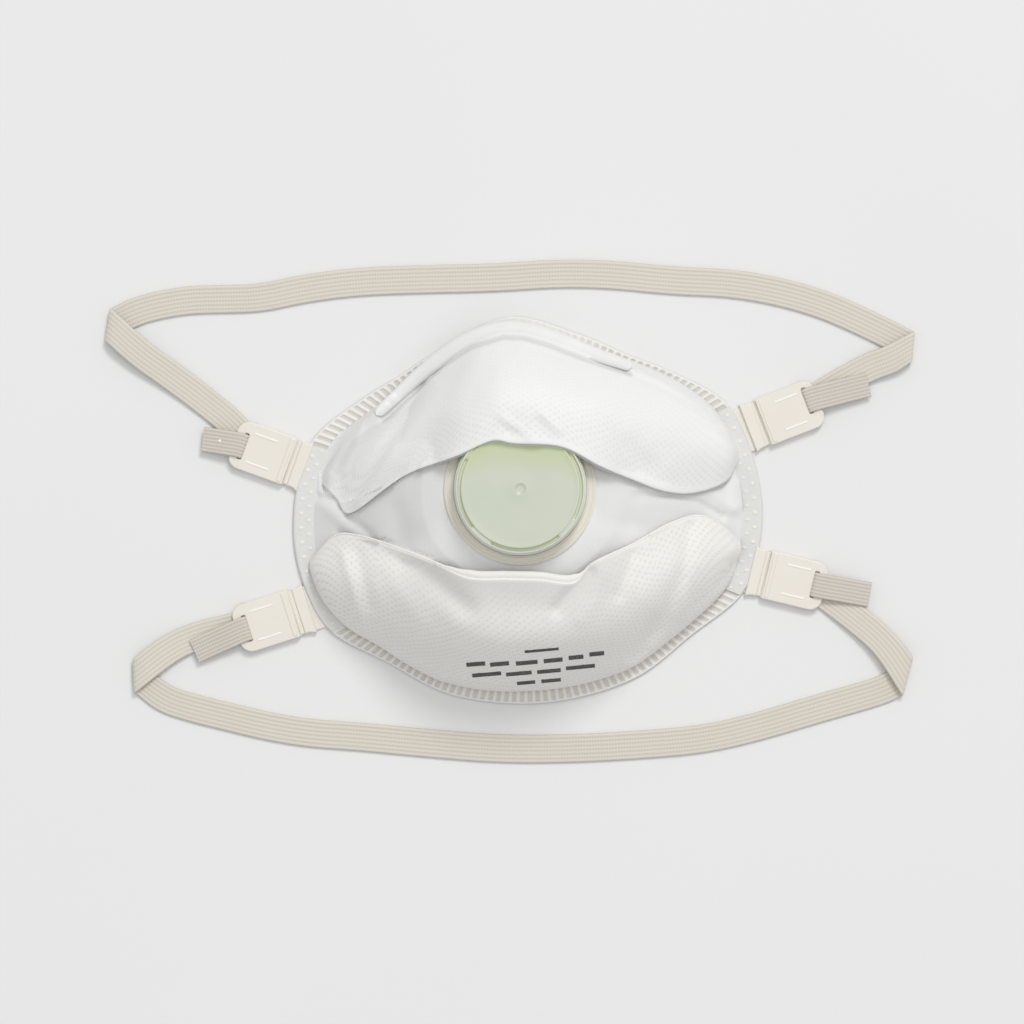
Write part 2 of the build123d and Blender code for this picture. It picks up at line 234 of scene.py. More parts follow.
def nonwoven(name, light, dark, dots=0.0):
    """White spunbond fabric. detail marks the pressed dots; another point attribute greys it as
    painted shade where shade falls.
    """
    look, tree, shader = material(name, 0.85, Sheen_Weight=0.15, Sheen_Roughness=0.5,
                                  Specular_IOR_Level=0.25)
    fibre = fibres(tree)
    cloudy = noise(tree, 90.0, 3.0)
    base = ramp(tree, fibre, None, (0.35, *dark), (0.62, *light))
    patchy = mix(tree, maths(tree, "MULTIPLY", cloudy, 0.22), base, (*dark, 1))
    # Painted shade: the fabric greyed where shade falls on it.
    tinted = mix(tree, attribute(tree, "painted_shade"), patchy, times(dark, 0.86))
    share = maths(tree, "MULTIPLY", attribute(tree, "detail"), dots)
    paint(tree, shader, mix(tree, share, tinted, times(dark, 0.80)))
    bump(tree, shader, fibre, 0.00006, 0.6)
    return look


def welded(name):
    """Nonwoven pressed flat by the welding tool. detail is 1 where it is pressed through. The side
    strips' raised weld dots are real; their pale cream colour is a painted highlight.
    """
    look, tree, shader = material(name, 0.5, Specular_IOR_Level=0.4)
    fibre = fibres(tree)
    loose = ramp(tree, fibre, None, (0.35, 0.74, 0.735, 0.71), (0.65, 0.80, 0.795, 0.77))
    pressed = ramp(tree, fibre, None, (0.3, 0.58, 0.56, 0.50), (0.7, 0.66, 0.64, 0.58))
    strip = ramp(tree, fibre, None, (0.3, 0.64, 0.64, 0.63), (0.7, 0.71, 0.71, 0.69))
    base = mix(tree, attribute(tree, "detail"), loose, pressed)
    base = mix(tree, attribute(tree, "strip"), base, strip)
    # Painted highlight: the raised weld dots painted pale cream.
    base = mix(tree, attribute(tree, "painted_dot_highlight"), base, (0.88, 0.83, 0.68, 1))
    paint(tree, shader, base)
    bump(tree, shader, fibre, 0.00004, 0.5)
    return look


def moulded(name, colour, deep, roughness=0.38, grain=0.00001, marked=None):
    """Milky moulded plastic: faint clouding, a fine sparked grain and tiny scuffs. Places on it can be
    painted greener, as painted shade under the valve's upper lip; paler, as a painted highlight on
    the cover's edge rings; or in the marked colour: painted shade on the nose clip's lower flank, a
    painted highlight on the buckle grip lines, and the valve's slots."""
    look, tree, shader = material(name, roughness, Specular_IOR_Level=0.45)
    cloudy = noise(tree, 60.0, 3.0)
    base = ramp(tree, cloudy, None, (0.3, *deep), (0.7, *colour))
    green = (deep[0] * 0.95, deep[1], deep[2] * 0.72, 1)
    # Painted shade: greener under the valve's upper lip. Painted highlight: paler on the cover's edge
    # rings.
    lip_shaded = mix(tree, attribute(tree, "painted_lip_shade"), base, green)
    edge_highlighted = mix(tree, attribute(tree, "edge"), lip_shaded, (*[c ** 0.55 for c in colour], 1))
    # In the marked colour: painted shade on the clip's flank, a painted highlight on the buckle lines,
    # and the valve's slots.
    tinted = mix(tree, attribute(tree, "detail"), edge_highlighted, (*(marked or deep), 1))
    paint(tree, shader, tinted)
    scuffs = noise(tree, 400.0, 5.0, 2.0)
    ramp(tree, scuffs, shader.inputs["Roughness"], (0.3, *[roughness - 0.06] * 3),
         (0.8, *[roughness + 0.12] * 3))
    bump(tree, shader, noise(tree, 3000.0, 2.0), grain, 0.6)
    return look


def elastic(name, light, dark):
    """Braided elastic: lengthwise cords crossed by a fine slanting crimp. Its UV map is in
    millimetres across and along the strap. detail is 1 between cords, where the colour is
    darkened as painted shade in the grooves; pale is 1 on a weld."""
    look, tree, shader = material(name, 0.75, Sheen_Weight=0.3, Specular_IOR_Level=0.3)
    across, along, _ = node(tree, "ShaderNodeSeparateXYZ", {
        "Vector": node(tree, "ShaderNodeUVMap", uv_map="UVMap").outputs[0]}).outputs
    sway = maths(tree, "SINE", maths(tree, "MULTIPLY", across, 2 * pi * 3.5 / 4.2))
    slant = maths(tree, "ADD", maths(tree, "MULTIPLY", along, 2 * pi / 0.85),
                  maths(tree, "MULTIPLY", sway, 1.1))
    crimp = maths(tree, "MULTIPLY_ADD", maths(tree, "SINE", slant), 0.5)
    crimp.node.inputs[2].default_value = 0.5
    groove = attribute(tree, "detail")
    fuzz = noise(tree, 2600.0, 3.0, 0.5)
    wide = noise(tree, 55.0, 2.0)
    base = ramp(tree, maths(tree, "MULTIPLY_ADD", crimp, 0.35), None, (0.0, *dark), (0.35, *light))
    # Painted shade: darker between the cords.
    shade = mix(tree, maths(tree, "MULTIPLY", groove, 0.75), base, times(dark, 0.78))
    shade = mix(tree, maths(tree, "MULTIPLY", wide, 0.18), shade, times(dark, 0.9))
    shade = mix(tree, attribute(tree, "pale"), shade, (0.88, 0.86, 0.82, 1))
    paint(tree, shader, shade)
    height = maths(tree, "ADD", crimp, maths(tree, "MULTIPLY", fuzz, 0.5))
    bump(tree, shader, height, 0.00008, 0.7)
    return look


def foam(name):
    look, tree, shader = material(name, 0.9, Subsurface_Weight=0.2, Subsurface_Scale=0.002)
    cells = node(tree, "ShaderNodeTexVoronoi", {"Vector": position(tree), "Scale": 1400.0})
    ramp(tree, cells.outputs["Distance"], shader.inputs["Base Color"], (0.0, 0.60, 0.60, 0.59),
         (0.5, 0.80, 0.80, 0.79))
    bump(tree, shader, cells.outputs["Distance"], 0.0002, 0.8)
    return look


# ---- Meshes ----
def grid_faces(rows, columns, close_columns=False):
    """The quads of a grid of points, as indices row after row."""
    r = np.arange(rows - 1)[:, None]
    c = np.arange(columns if close_columns else columns - 1)[None, :]
    d = (c + 1) % columns
    quads = np.stack([r * columns + c, r * columns + d, (r + 1) * columns + d,
                      (r + 1) * columns + c], axis=-1)
    return quads.reshape(-1, 4)


def tube_faces(rings, columns):
    """The faces of a closed tube: its quads and both ends."""
    faces = grid_faces(rings, columns, close_columns=True).tolist()
    return faces + [list(range(columns)),
                    list(range(rings * columns - 1, (rings - 1) * columns - 1, -1))]


def piece(name, points, faces, look, body="root", uv=None, marks=None, sharp=None):
    """A mesh object from points in millimetres, with a UV map and point attributes."""
    mesh = bpy.data.meshes.new(name)
    points = np.asarray(points, float).reshape(-1, 3)
    mesh.from_pydata((points * MM).tolist(), [], [list(map(int, f)) for f in faces])
    mesh.shade_smooth()
    if sharp:
        mesh.set_sharp_from_angle(angle=radians(sharp))
    if uv is not None:
        layer = mesh.uv_layers.new(name="UVMap")
        corners = np.zeros(len(mesh.loops), int)
        mesh.loops.foreach_get("vertex_index", corners)
        layer.data.foreach_set("uv", np.asarray(uv, np.float32).reshape(-1, 2)[corners].ravel())
    for key, values in (marks or {}).items():
        layer = mesh.attributes.new(key, "FLOAT", "POINT")
        layer.data.foreach_set("value", np.asarray(values, np.float32).ravel())
    mesh.materials.append(look)
    made = bpy.data.objects.new(name, mesh)
    bpy.context.scene.collection.objects.link(made)
    if body:
        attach(made, body)
    return made


def mark_all(made, key):
    """Sets a piece's point attribute to 1 all over."""
    layer = made.data.attributes.new(key, "FLOAT", "POINT")
    layer.data.foreach_set("value", np.ones(len(made.data.vertices), np.float32))


def opened(name, curve):
    """A curve's points and faces. The curve itself is removed."""
    holder = bpy.data.objects.new(name, curve)
    mesh = bpy.data.meshes.new_from_object(holder)
    points = np.array([v.co[:] for v in mesh.vertices])
    faces = [tuple(f.vertices) for f in mesh.polygons]
    bpy.data.objects.remove(holder)
    bpy.data.curves.remove(curve)
    bpy.data.meshes.remove(mesh)
    return points, faces


def clamp(values):
    return np.clip(values, 0, 1)


def unit(vectors):
    return vectors / np.maximum(np.linalg.norm(vectors, axis=-1, keepdims=True), 1e-9)


def lengths(line):
    """How far along a line each of its points lies."""
    return np.concatenate([[0], np.cumsum(np.linalg.norm(np.diff(line, axis=0), axis=1))])


def smooth_line(values, stations, at):
    """A curve through the values at their stations, without sharp turns, read at other places."""
    values = np.asarray(values, float)
    stations = np.asarray(stations, float)
    slopes = np.gradient(values, stations, axis=0)
    i = np.clip(np.searchsorted(stations, at, side="right") - 1, 0, len(stations) - 2)
    shape = (-1,) + (1,) * (values.ndim - 1)
    step = (stations[i + 1] - stations[i]).reshape(shape)
    t = ((at - stations[i]) / (stations[i + 1] - stations[i])).reshape(shape)
    return ((1 + 2 * t) * (1 - t) ** 2 * values[i] + t * (1 - t) ** 2 * step * slopes[i]
            + t * t * (3 - 2 * t) * values[i + 1] + t * t * (t - 1) * step * slopes[i + 1])


def spans(net):
    """Stations for a net's rows, by their mean distance."""
    steps = np.linalg.norm(np.diff(net, axis=0), axis=-1).mean(axis=1)
    return np.concatenate([[0], np.cumsum(steps)])


def surface(net, step):
    """A smooth surface through a net of points, as a grid about step apart."""
    net = np.asarray(net, float)
    for _ in range(2):
        stations = spans(net)
        count = int(stations[-1] / step) + 2
        net = smooth_line(net, stations, np.linspace(0, stations[-1], count)).swapaxes(0, 1)
    return net


def rim_point(place, inset=0.0):
    """A point on the rim: place counts its driving points clockwise from the nose peak."""
    count = len(RIM)
    ring = np.array(RIM[-3:] + RIM + RIM[:3], float)
    x, y = smooth_line(ring, np.arange(-3, count + 3), np.atleast_1d(np.asarray(place) % count)).T
    keep = 1 - np.asarray(inset) / np.hypot(x, y)
    return np.stack([x * keep, y * keep], axis=-1)


def rim_width(x):
    return RIM_WIDTH + SIDE_EXTRA * (x / HALF_WIDTH) ** 4


def near_line(x, y, line):
    """Distance in plan from points to a line of several runs."""
    best = np.full(x.shape, np.inf)
    for (x0, y0), (x1, y1) in zip(line, line[1:]):
        run = (x1 - x0) ** 2 + (y1 - y0) ** 2
        t = clamp(((x - x0) * (x1 - x0) + (y - y0) * (y1 - y0)) / run)
        best = np.minimum(best, np.hypot(x - x0 - t * (x1 - x0), y - y0 - t * (y1 - y0)))
    return best


def creased(grid, creases):
    """The grid raised or lowered along soft creases, each (rise, half width, line)."""
    grid = grid.copy()
    x, y = grid[..., 0], grid[..., 1]
    for rise, width, line in creases:
        grid[..., 2] += rise * np.exp(-(near_line(x, y, line) / width) ** 2)
    return grid


def rippled(grid, height):
    """Gentle unevenness, as handled fabric has."""
    grid = grid.copy()
    x, y = grid[..., 0], grid[..., 1]
    grid[..., 2] += height * (np.sin(x / 3.1 + 1.3 * np.sin(y / 4.3)) * np.sin(y / 3.7 + 0.8)
                              + 0.6 * np.sin(x / 6.7 - y / 5.1 + 2.0))
    return grid


def tinted(grid, shades):
    """How much painted shade each point gets: the most of some soft bands, each (core, fall, limit,
    line).
    """
    painted_shade = np.zeros(grid.shape[:2])
    for core, fall, limit, line in shades:
        near = near_line(grid[..., 0], grid[..., 1], line)
        painted_shade = np.maximum(painted_shade, np.clip(core - near / fall, 0, limit))
    return painted_shade


def normals(grid):
    across = np.gradient(grid, axis=1)
    up = np.gradient(grid, axis=0)
    out = unit(np.cross(across, up))
    return out * np.sign(out[..., 2:] + 1e-9)


DOT_PITCH_X = 2.7
DOT_PITCH_Y = 2.0
DOT_DEPTH = 0.07


def embossed(grid, fade):
    """Presses a staggered lattice of small dots into the fabric. Gives the grid, how far each
    point is in a dot, and the fabric's own coordinates."""
    lift = np.diff(grid, axis=0)
    v = np.cumsum(np.hypot(lift[..., 1], lift[..., 2]), axis=0)
    v = np.concatenate([np.zeros((1, grid.shape[1])), v])
    v = v - v[-1:]
    turn = np.diff(grid, axis=1)
    u = np.cumsum(np.hypot(turn[..., 0], turn[..., 2]), axis=1)
    u = np.concatenate([np.zeros((grid.shape[0], 1)), u], axis=1)
    middle = int(np.argmin(np.abs(grid[..., 0].mean(axis=0))))
    u = u - u[:, middle:middle + 1] + grid[:, middle:middle + 1, 0] + 0.12 * v
    one = 2 * pi * u / DOT_PITCH_X
    other = 2 * pi * v / DOT_PITCH_Y
    wave = 0.62 * np.cos(one + other) + 0.38 * np.cos(one - other)
    dots = clamp((wave - 0.30) / 0.45) * fade
    return grid - normals(grid) * (DOT_DEPTH * dots)[..., None], dots, np.stack([u, v], axis=-1)


# ---- Fabric panels ----
# Columns of the upper panel, from its left end to its right end: the rim place and inset where
# it starts, then its points at the nose clip, half way up, and at the free lip.
UPPER_NET = [
    (17.5, 5.3, (-60.0, 17.4, 1.2), (-60.2, 16.2, 1.2), (-60.2, 15.0, 1.2), (-60.2, 14.0, 1.2)),
    (18.3, 5.2, (-51.8, 27.0, 2.8), (-54.0, 22.0, 4.4), (-56.6, 16.4, 5.8), (-58.2, 11.9, 6.0)),
    (19.2, 4.5, (-42.0, 34.0, 3.8), (-45.5, 27.0, 6.6), (-51.0, 17.5, 9.5), (-55.8, 9.0, 9.0)),
    (20.4, 4.2, (-27.5, 42.2, 4.8), (-31.5, 34.5, 9.0), (-42.5, 19.5, 14.0), (-53.0, 4.4, 13.0)),
    (20.7, 4.0, (-23.8, 44.0, 6.4), (-27.0, 37.0, 14.5), (-38.0, 21.5, 21.5), (-50.2, 4.9, 15.5)),
    (21.2, 3.6, (-15.5, 49.6, 6.6), (-17.5, 43.0, 20.0), (-26.0, 28.5, 31.0), (-34.3, 14.0, 27.0)),
    (21.7, 3.2, (-6.5, 53.8, 7.0), (-9.0, 46.5, 24.0), (-14.5, 31.5, 41.5), (-18.7, 18.2, 44.6)),
    (22.0, 3.0, (-0.6, 54.6, 7.0), (-2.0, 47.0, 25.0), (-5.0, 33.5, 45.2), (-7.6, 21.6, 47.6)),
    (22.2, 3.0, (3.6, 54.2, 7.0), (3.4, 46.5, 25.0), (1.0, 33.0, 45.4), (-3.0, 20.4, 47.6)),
    (22.9, 3.2, (15.5, 49.8, 6.6), (14.8, 43.5, 22.0), (13.5, 30.0, 43.4), (11.8, 17.9, 47.2)),
    (23.5, 3.4, (24.5, 46.0, 6.0), (25.0, 40.5, 18.5), (25.0, 26.5, 38.5), (22.5, 11.3, 42.6)),
    (24.1, 3.6, (33.0, 42.2, 5.4), (34.5, 37.0, 15.5), (35.0, 22.5, 31.5), (31.7, 6.6, 33.0)),
    (24.8, 3.8, (41.5, 38.0, 4.8), (44.0, 32.5, 13.0), (44.5, 18.0, 25.0), (40.9, 2.4, 25.5)),
    (25.4, 4.2, (50.0, 32.6, 4.4), (53.0, 26.5, 10.5), (53.8, 13.5, 17.5), (50.3, 1.2, 17.5)),
    (26.0, 4.8, (57.6, 25.6, 3.8), (60.4, 19.5, 7.5), (61.6, 10.8, 10.5), (59.9, 4.0, 9.5)),
    (26.5, 5.3, (62.9, 16.8, 1.2), (64.0, 14.2, 1.2), (64.6, 12.2, 1.2), (64.8, 10.6, 1.2)),
]
# The nose clip's middle line, half its width, and the shade under its lower edge.
CLIP_LINE = [(-42.0, 32.4), (-36.3, 36.8), (-22.3, 46.9), (-13.2, 51.8), (-2.4, 54.3), (4.5, 53.3),
             (11.9, 50.3), (22.6, 45.0), (34.8, 39.6)]
CLIP_HALF = 2.4
CLIP_SHADE = [(-40.0, 30.4), (-34.9, 34.6), (-21.1, 45.0), (-12.3, 49.6), (-2.5, 51.8), (3.8, 50.9),
              (10.9, 48.1), (21.6, 42.8), (33.9, 37.6)]
# Rise, half width and line of each crease.
UPPER_CREASES = [
    (-1.1, 1.6, [(-27, 39.5), (-35, 29), (-53, 5)]),
    (0.8, 2.0, [(-23.5, 39), (-33, 28), (-49.5, 7)]),
    (0.6, 1.6, [(-4.5, 27.5), (-0.5, 24.0), (3.5, 20.0)]),
    (-0.35, 1.5, [(-3.5, 23.5), (1.0, 22.0)]),
    (0.55, 1.3, [(7.0, 27.5), (11.5, 22.5)]),
    (-0.35, 1.8, [(5.0, 25.5), (8.5, 20.0)]),
    (-1.4, 0.8, CLIP_SHADE),
    (-0.6, 1.3, [(4.6, 47.6), (8.0, 46.6), (14, 44.2)]),
    (0.5, 3.5, [(33.0, 20.0), (42.0, 9.0)]),
    (-0.5, 4.0, [(27.0, 22.0), (36.0, 9.5)]),
    (-1.1, 1.3, [(36, 36.5), (47, 30.5), (57, 22.5), (63, 15)]),
    (-0.6, 1.2, [(-50, 24), (-56, 17)]),
    (0.5, 1.4, [(-47, 29), (-53, 17)]),
]
LOWER_NET = [
    (15.3, 5.8, (-65.2, -11.6, 2.6), (-65.9, -11.0, 3.2), (-65.9, -10.4, 3.4), (-65.7, -9.6, 3.2)),
    (14.9, 5.2, (-63.6, -18.0, 3.2), (-65.0, -15.5, 4.6), (-64.4, -10.0, 6.8), (-62.0, -5.6, 7.0)),
    (14.4, 4.8, (-60.6, -24.6, 3.6), (-61.6, -21.5, 7.4), (-59.6, -12.0, 12.8), (-56.5, -2.4, 11.5)),
    (14.0, 4.5, (-57.2, -29.0, 3.8), (-56.4, -25.5, 10.0), (-54.0, -14.0, 18.0), (-51.4, -3.0, 16.0)),
    (13.3, 4.3, (-47.4, -36.2, 4.0), (-45.0, -32.5, 13.5), (-40.5, -21.0, 26.0), (-36.4, -9.1, 27.5)),
    (12.8, 4.2, (-40.4, -41.6, 4.2), (-37.0, -38.5, 15.0), (-32.0, -26.5, 30.5), (-27.0, -13.8, 34.5)),
    (12.3, 4.2, (-31.0, -47.6, 4.2), (-28.0, -43.5, 16.0), (-23.5, -31.5, 34.5), (-19.3, -18.1, 38.8)),
    (11.7, 4.2, (-16.5, -52.2, 4.2), (-14.5, -47.5, 16.5), (-11.0, -35.5, 36.5), (-8.0, -19.6, 40.6)),
    (11.0, 4.2, (0.4, -53.6, 4.2), (0.5, -48.5, 16.5), (1.0, -36.5, 37.0), (2.0, -20.8, 40.8)),
    (10.5, 4.2, (13.6, -52.6, 4.2), (12.5, -47.5, 16.0), (12.0, -36.0, 35.5), (11.6, -22.4, 39.6)),
    (10.0, 4.2, (26.4, -49.4, 4.2), (24.0, -44.5, 15.0), (20.5, -32.0, 33.5), (17.2, -17.8, 38.0)),
    (9.4, 4.2, (37.8, -42.8, 4.2), (34.5, -39.0, 14.0), (32.0, -27.0, 29.5), (29.9, -13.1, 31.5)),
    (8.9, 4.4, (47.6, -36.0, 4.0), (45.5, -33.0, 12.5), (44.5, -21.0, 22.5), (42.7, -7.7, 23.5)),
    (8.4, 4.6, (54.8, -30.4, 3.8), (54.5, -26.5, 10.0), (54.6, -17.0, 16.5), (52.2, -6.9, 17.0)),
    (8.0, 5.0, (58.9, -25.4, 3.4), (59.0, -22.5, 7.0), (60.2, -16.5, 10.0), (58.6, -11.0, 10.0)),
    (7.6, 5.4, (60.8, -20.6, 2.6), (61.4, -19.4, 4.0), (62.2, -17.4, 4.6), (62.3, -15.1, 4.0)),
]
LOWER_CREASES = [
    (-1.5, 3.4, [(-36.5, -11.5), (-28, -19), (-20.5, -26.5)]),
    (0.5, 3.0, [(-44, -12), (-38, -24), (-31, -35)]),
    (-1.6, 2.2, [(16.0, -19.5), (11.0, -24.5), (6.0, -29.5)]),
    (0.6, 2.6, [(20.5, -20), (17.5, -28), (13, -33)]),
    (-0.9, 2.0, [(29.5, -15.5), (24.5, -27)]),
    (-1.4, 2.6, [(43.0, -24.0), (37.5, -34), (28.5, -46.0)]),
    (0.6, 2.6, [(48.5, -21.0), (43.5, -33), (34, -43)]),
    (-0.9, 2.2, [(47.5, -9.0), (44.5, -20.5)]),
    (0.6, 1.5, [(-55.6, -7.5), (-53.0, -22.0), (-51.5, -31)]),
    (-0.7, 2.0, [(-51.0, -8), (-48.5, -24.0)]),
    (-0.5, 4.0, [(-10, -27), (0, -29)]),
]
# The bands of painted shade on the fabric, for tinted(): along the upper panel's sides near the welded
# edge, under the nose clip's lower edge, beneath the lower lip, and on the centre panel beside the
# valve, under the lips.
UPPER_SHADES = [(1.2, 8, 0.75, [(-62, 20), (-50, 29), (-38, 38)]),
                (1.0, 3.5, 0.5, [(34, 42), (48, 34), (60, 23)]),
                (1.9, 0.6, 1.0, CLIP_SHADE)]
LOWER_SHADES = [(1.0, 15, 1.0, [(-30, -15), (-19, -20), (-8, -21.5), (2, -22.7), (11, -24),
                                (17, -20)])]
CENTRE_SHADES = [(1.1, 13, 0.5, [(-46, 1), (-30, 8)]),
                 (1, 10, 0.35, [(27, 2), (45, -3)])]
# The folded edges past each lip: how far out and how far down.
UPPER_HEM = [(0.35, 0.15), (0.5, 0.5), (0.3, 0.85), (-1.0, 1.2), (-4.5, 2.6)]
LOWER_HEM = [(0.1, 0.25), (0.25, 0.55), (0.5, 0.5), (1.0, 0.15), (1.7, 0.05), (2.3, 0.25),
             (2.7, 0.8), (2.6, 1.5), (1.6, 2.1), (-6.0, 3.4)]
LIP_LAYERS = ((0.45, 0.75), (0.95, 1.45))
NET_STEP = 0.42
UPPER_START = 1.4
LOWER_START = 1.7
LIP_GAP = 2.7
GAP_FADE = 10
CREASED_SHARE = 0.75


def from_ends(grid):
    """How far each column of a panel's grid is from the nearer end of the panel."""
    columns = np.arange(grid.shape[1])
    return np.minimum(columns, columns[::-1]) * NET_STEP


def panel_grid(net, start_height, creases, ripple, under):
    """A panel's smooth shape with its creases, kept clear of the layers under it. The gap grows
    from its start to its lip, and from its ends inwards."""
    rows = []
    for place, inset, *points in net:
        x, y = rim_point(place, inset)[0]
        rows.append([(x, y, start_height), *points])
    grid = surface(np.array(rows).swapaxes(0, 1), NET_STEP)
    down = clamp(np.linspace(0, 2, grid.shape[0]))[:, None]
    gap = LIP_GAP * down * clamp(from_ends(grid) / GAP_FADE)
    grid = kept_above(grid, under, gap)
    fade = clamp(np.linspace(0, 5, grid.shape[0]))[:, None]
    shaped = rippled(creased(grid, creases), ripple)
    return kept_above(grid + (shaped - grid) * fade[..., None], under, CREASED_SHARE * gap)


def hem_rows(grid, profile, narrow=None):
    """Rows that go on from the grid's last row: each of the profile's points is how far out past
    the lip and how far down it lies."""
    lip = grid[-1]
    way = unit((grid[-1] - grid[-8]) * (1, 1, 0))
    some = way[::12]
    way = smooth_line(some, np.arange(len(some)), np.linspace(0, len(some) - 1, len(way)))
    rows = []
    if narrow is None:
        narrow = np.ones(len(lip))
    for out, down in profile:
        row = lip + way * (out * narrow)[:, None]
        row[:, 2] = np.maximum(lip[:, 2] - down * (0.5 + 0.5 * narrow), np.minimum(1.2, lip[:, 2]))
        rows.append(row)
    return np.array(rows)


def fabric_panel(name, grid, hem, painted_shade, look, fade_at_lip, strong=1000.0, faint=1.0, narrow=None,
                 plain_ends=2.0):
    """An embossed panel with its folded edge, as one sheet."""
    rows = grid.shape[0]
    from_lip = np.arange(rows)[::-1, None] * NET_STEP
    fade = clamp((from_lip - fade_at_lip) / 0.8) * np.ones((1, grid.shape[1]))
    fade = fade * (faint + (1 - faint) * clamp(1.5 - from_lip / strong))
    fade = fade * clamp((from_ends(grid) - plain_ends) / 4)
    pressed, dots, uv = embossed(grid, fade)
    edge = hem_rows(grid, hem, narrow)
    points = np.concatenate([pressed, edge])
    extra = np.zeros((len(edge), grid.shape[1]))
    # Painted shade goes on as a point attribute; the upper panel's folded edge keeps the lip's painted
    # shade.
    marks = {"detail": np.concatenate([dots, extra]),
             "painted_shade": np.concatenate([painted_shade, extra + (painted_shade[-1:] if narrow is None else 0)])}
    uv = np.concatenate([uv, np.repeat(uv[-1:], len(edge), axis=0)])
    return piece(name, points, grid_faces(*points.shape[:2]), look, uv=uv,
                 marks=marks)


# How far the centre panel reaches under the welded edge and the valve, and the height it starts at.
UNDER_EDGE = 0.86
UNDER_SEAT = 0.86
CENTRE_START = 1.2


def centre_grid():
    """The smooth middle panel: a cup whose wall runs from the welded edge to the valve."""
    place = np.linspace(0, len(RIM), 430)
    table = np.array(WALL, float)
    at = np.linspace(0, 1, 70)
    rise, side, nose = smooth_line(table, np.linspace(0, 1, len(WALL)), at).T
    outer = rim_point(place)
    angle = np.arctan2(outer[:, 1], outer[:, 0])
    base = rim_point(place, rim_width(outer[:, 0]) * UNDER_EDGE)
    seat = np.stack([VALVE_X + UNDER_SEAT * SEAT_RADIUS * np.cos(angle),
                     VALVE_Y + UNDER_SEAT * SEAT_RADIUS * np.sin(angle)], axis=-1)
    lean = np.maximum(0, np.sin(angle)) ** 2
    share = side[:, None] + (nose - side)[:, None] * lean
    plan = base + (seat - base) * share[..., None]
    height = CENTRE_START + (CUP_HEIGHT - CENTRE_START) * rise + 0.7 * np.sqrt(np.sin(pi * at).clip(0))
    height = np.repeat(height[:, None], len(place), axis=1)
    return np.concatenate([plan, height[..., None]], axis=-1)


CENTRE_CREASES = [
    (-1.1, 1.3, [(-53.0, 3.0), (-47, -2.5), (-43, -9)]),
    (0.6, 1.6, [(-53.5, 0.0), (-60.5, 7.5)]),
    (-1.0, 1.2, [(-63.2, 9.5), (-57, 9.0), (-53, 4.5)]),
    (0.7, 3.6, [(-58.5, -1.0), (-58.5, 4.0)]),
    (-0.9, 1.3, [(-56, -1.5), (-50.5, -4.5)]),
    (-0.9, 3.2, [(-38, 3.0), (-36.5, -6.0)]),
    (0.4, 3.4, [(-45.5, 4.0), (-43.5, -5.0)]),
    (-1.1, 1.3, [(33, 1.5), (43, 0.5), (51, -2.5), (57.5, -7.0)]),
    (1.0, 1.9, [(37, 4), (47, 3.5), (56, 0.5), (61, -5)]),
    (1.2, 2.6, [(61.5, 3.0), (62.5, -4.0)]),
    (-0.9, 1.2, [(50.5, 1.5), (58.5, 3.5), (63.5, 4.5)]),
    (-0.8, 3.0, [(27, 3), (29, -6)]),
]


TUCK = 0.6
BLEND_HEIGHT = 0.4


def tucked(grid, covers):
    """The grid kept a little below the panels that lie over it."""
    points = grid.reshape(-1, 3).copy()
    for cover in covers:
        tree = tree_of(np.concatenate([cover, hem_rows(cover, [(0.8, 0.6), (1.6, 0.9)])]))
        for point in points:
            point[2] = min(point[2], height_on(tree, point[0], point[1], 100.0) - TUCK)
    return points.reshape(grid.shape)


def tree_of(grid):
    points = grid.reshape(-1, 3)
    return BVHTree.FromPolygons([tuple(p) for p in points],
                                [tuple(f) for f in grid_faces(*grid.shape[:2])])


def node_tree(name):
    """The surface of a CAD node, for finding heights on it."""
    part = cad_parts[name]
    points = [tuple(part.matrix_world @ v.co / MM) for v in part.data.vertices]
    return BVHTree.FromPolygons(points, [tuple(f.vertices) for f in part.data.polygons])


def kept_above(grid, trees, gap):
    """The grid lifted, where it must be, to lie a gap over the layers under it."""
    points = grid.reshape(-1, 3).copy()
    gaps = np.broadcast_to(gap, grid.shape[:2]).ravel()
    for point, free in zip(points, gaps):
        least = max(height_on(tree, point[0], point[1], -9.0) for tree in trees) + free
        point[2] = (point[2] + least + hypot(point[2] - least, BLEND_HEIGHT)) / 2
    return points.reshape(grid.shape)


def height_on(tree, x, y, otherwise=4.0):
    hit = tree.ray_cast(Vector((x, y, 90)), Vector((0, 0, -1)))[0]
    return hit.z if hit else otherwise


def make_upper(look, layer_look, under):
    upper = panel_grid(UPPER_NET, UPPER_START, UPPER_CREASES, 0.10, under)
    panel = fabric_panel("upper_panel_fabric", upper, UPPER_HEM, tinted(upper, UPPER_SHADES), look,
                         0.8, 11.0, 0.45, plain_ends=8.0)
    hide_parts("upper_panel")
    for number, (out, down) in enumerate(LIP_LAYERS):
        lip = hem_rows(upper, [(out - 1.8, down + 1.6), (out - 0.3, down + 0.05), (out, down),
                               (out + 0.1, down + 0.25), (out, down + 0.5), (out - 1.8, down + 2.0)])
        # The lip layers are greyed as painted shade under the lip, the lower layer more.
        piece(f"upper_lip_layer_{number + 1}", lip, grid_faces(*lip.shape[:2]), layer_look,
              marks={"painted_shade": np.full(lip.shape[:2], 0.5 * number + 0.5)})
    return upper


def make_lower(look, under):
    lower = panel_grid(LOWER_NET, LOWER_START, LOWER_CREASES, 0.12, under)
    lip_x = lower[-1, :, 0]
    band = 0.3 + 0.7 * clamp((lip_x + 26) / 7) * clamp((15 - lip_x) / 3)
    panel = fabric_panel("lower_panel_fabric", lower, LOWER_HEM, tinted(lower, LOWER_SHADES), look,
                         0.6, narrow=band)
    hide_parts("lower_panel")
    return lower


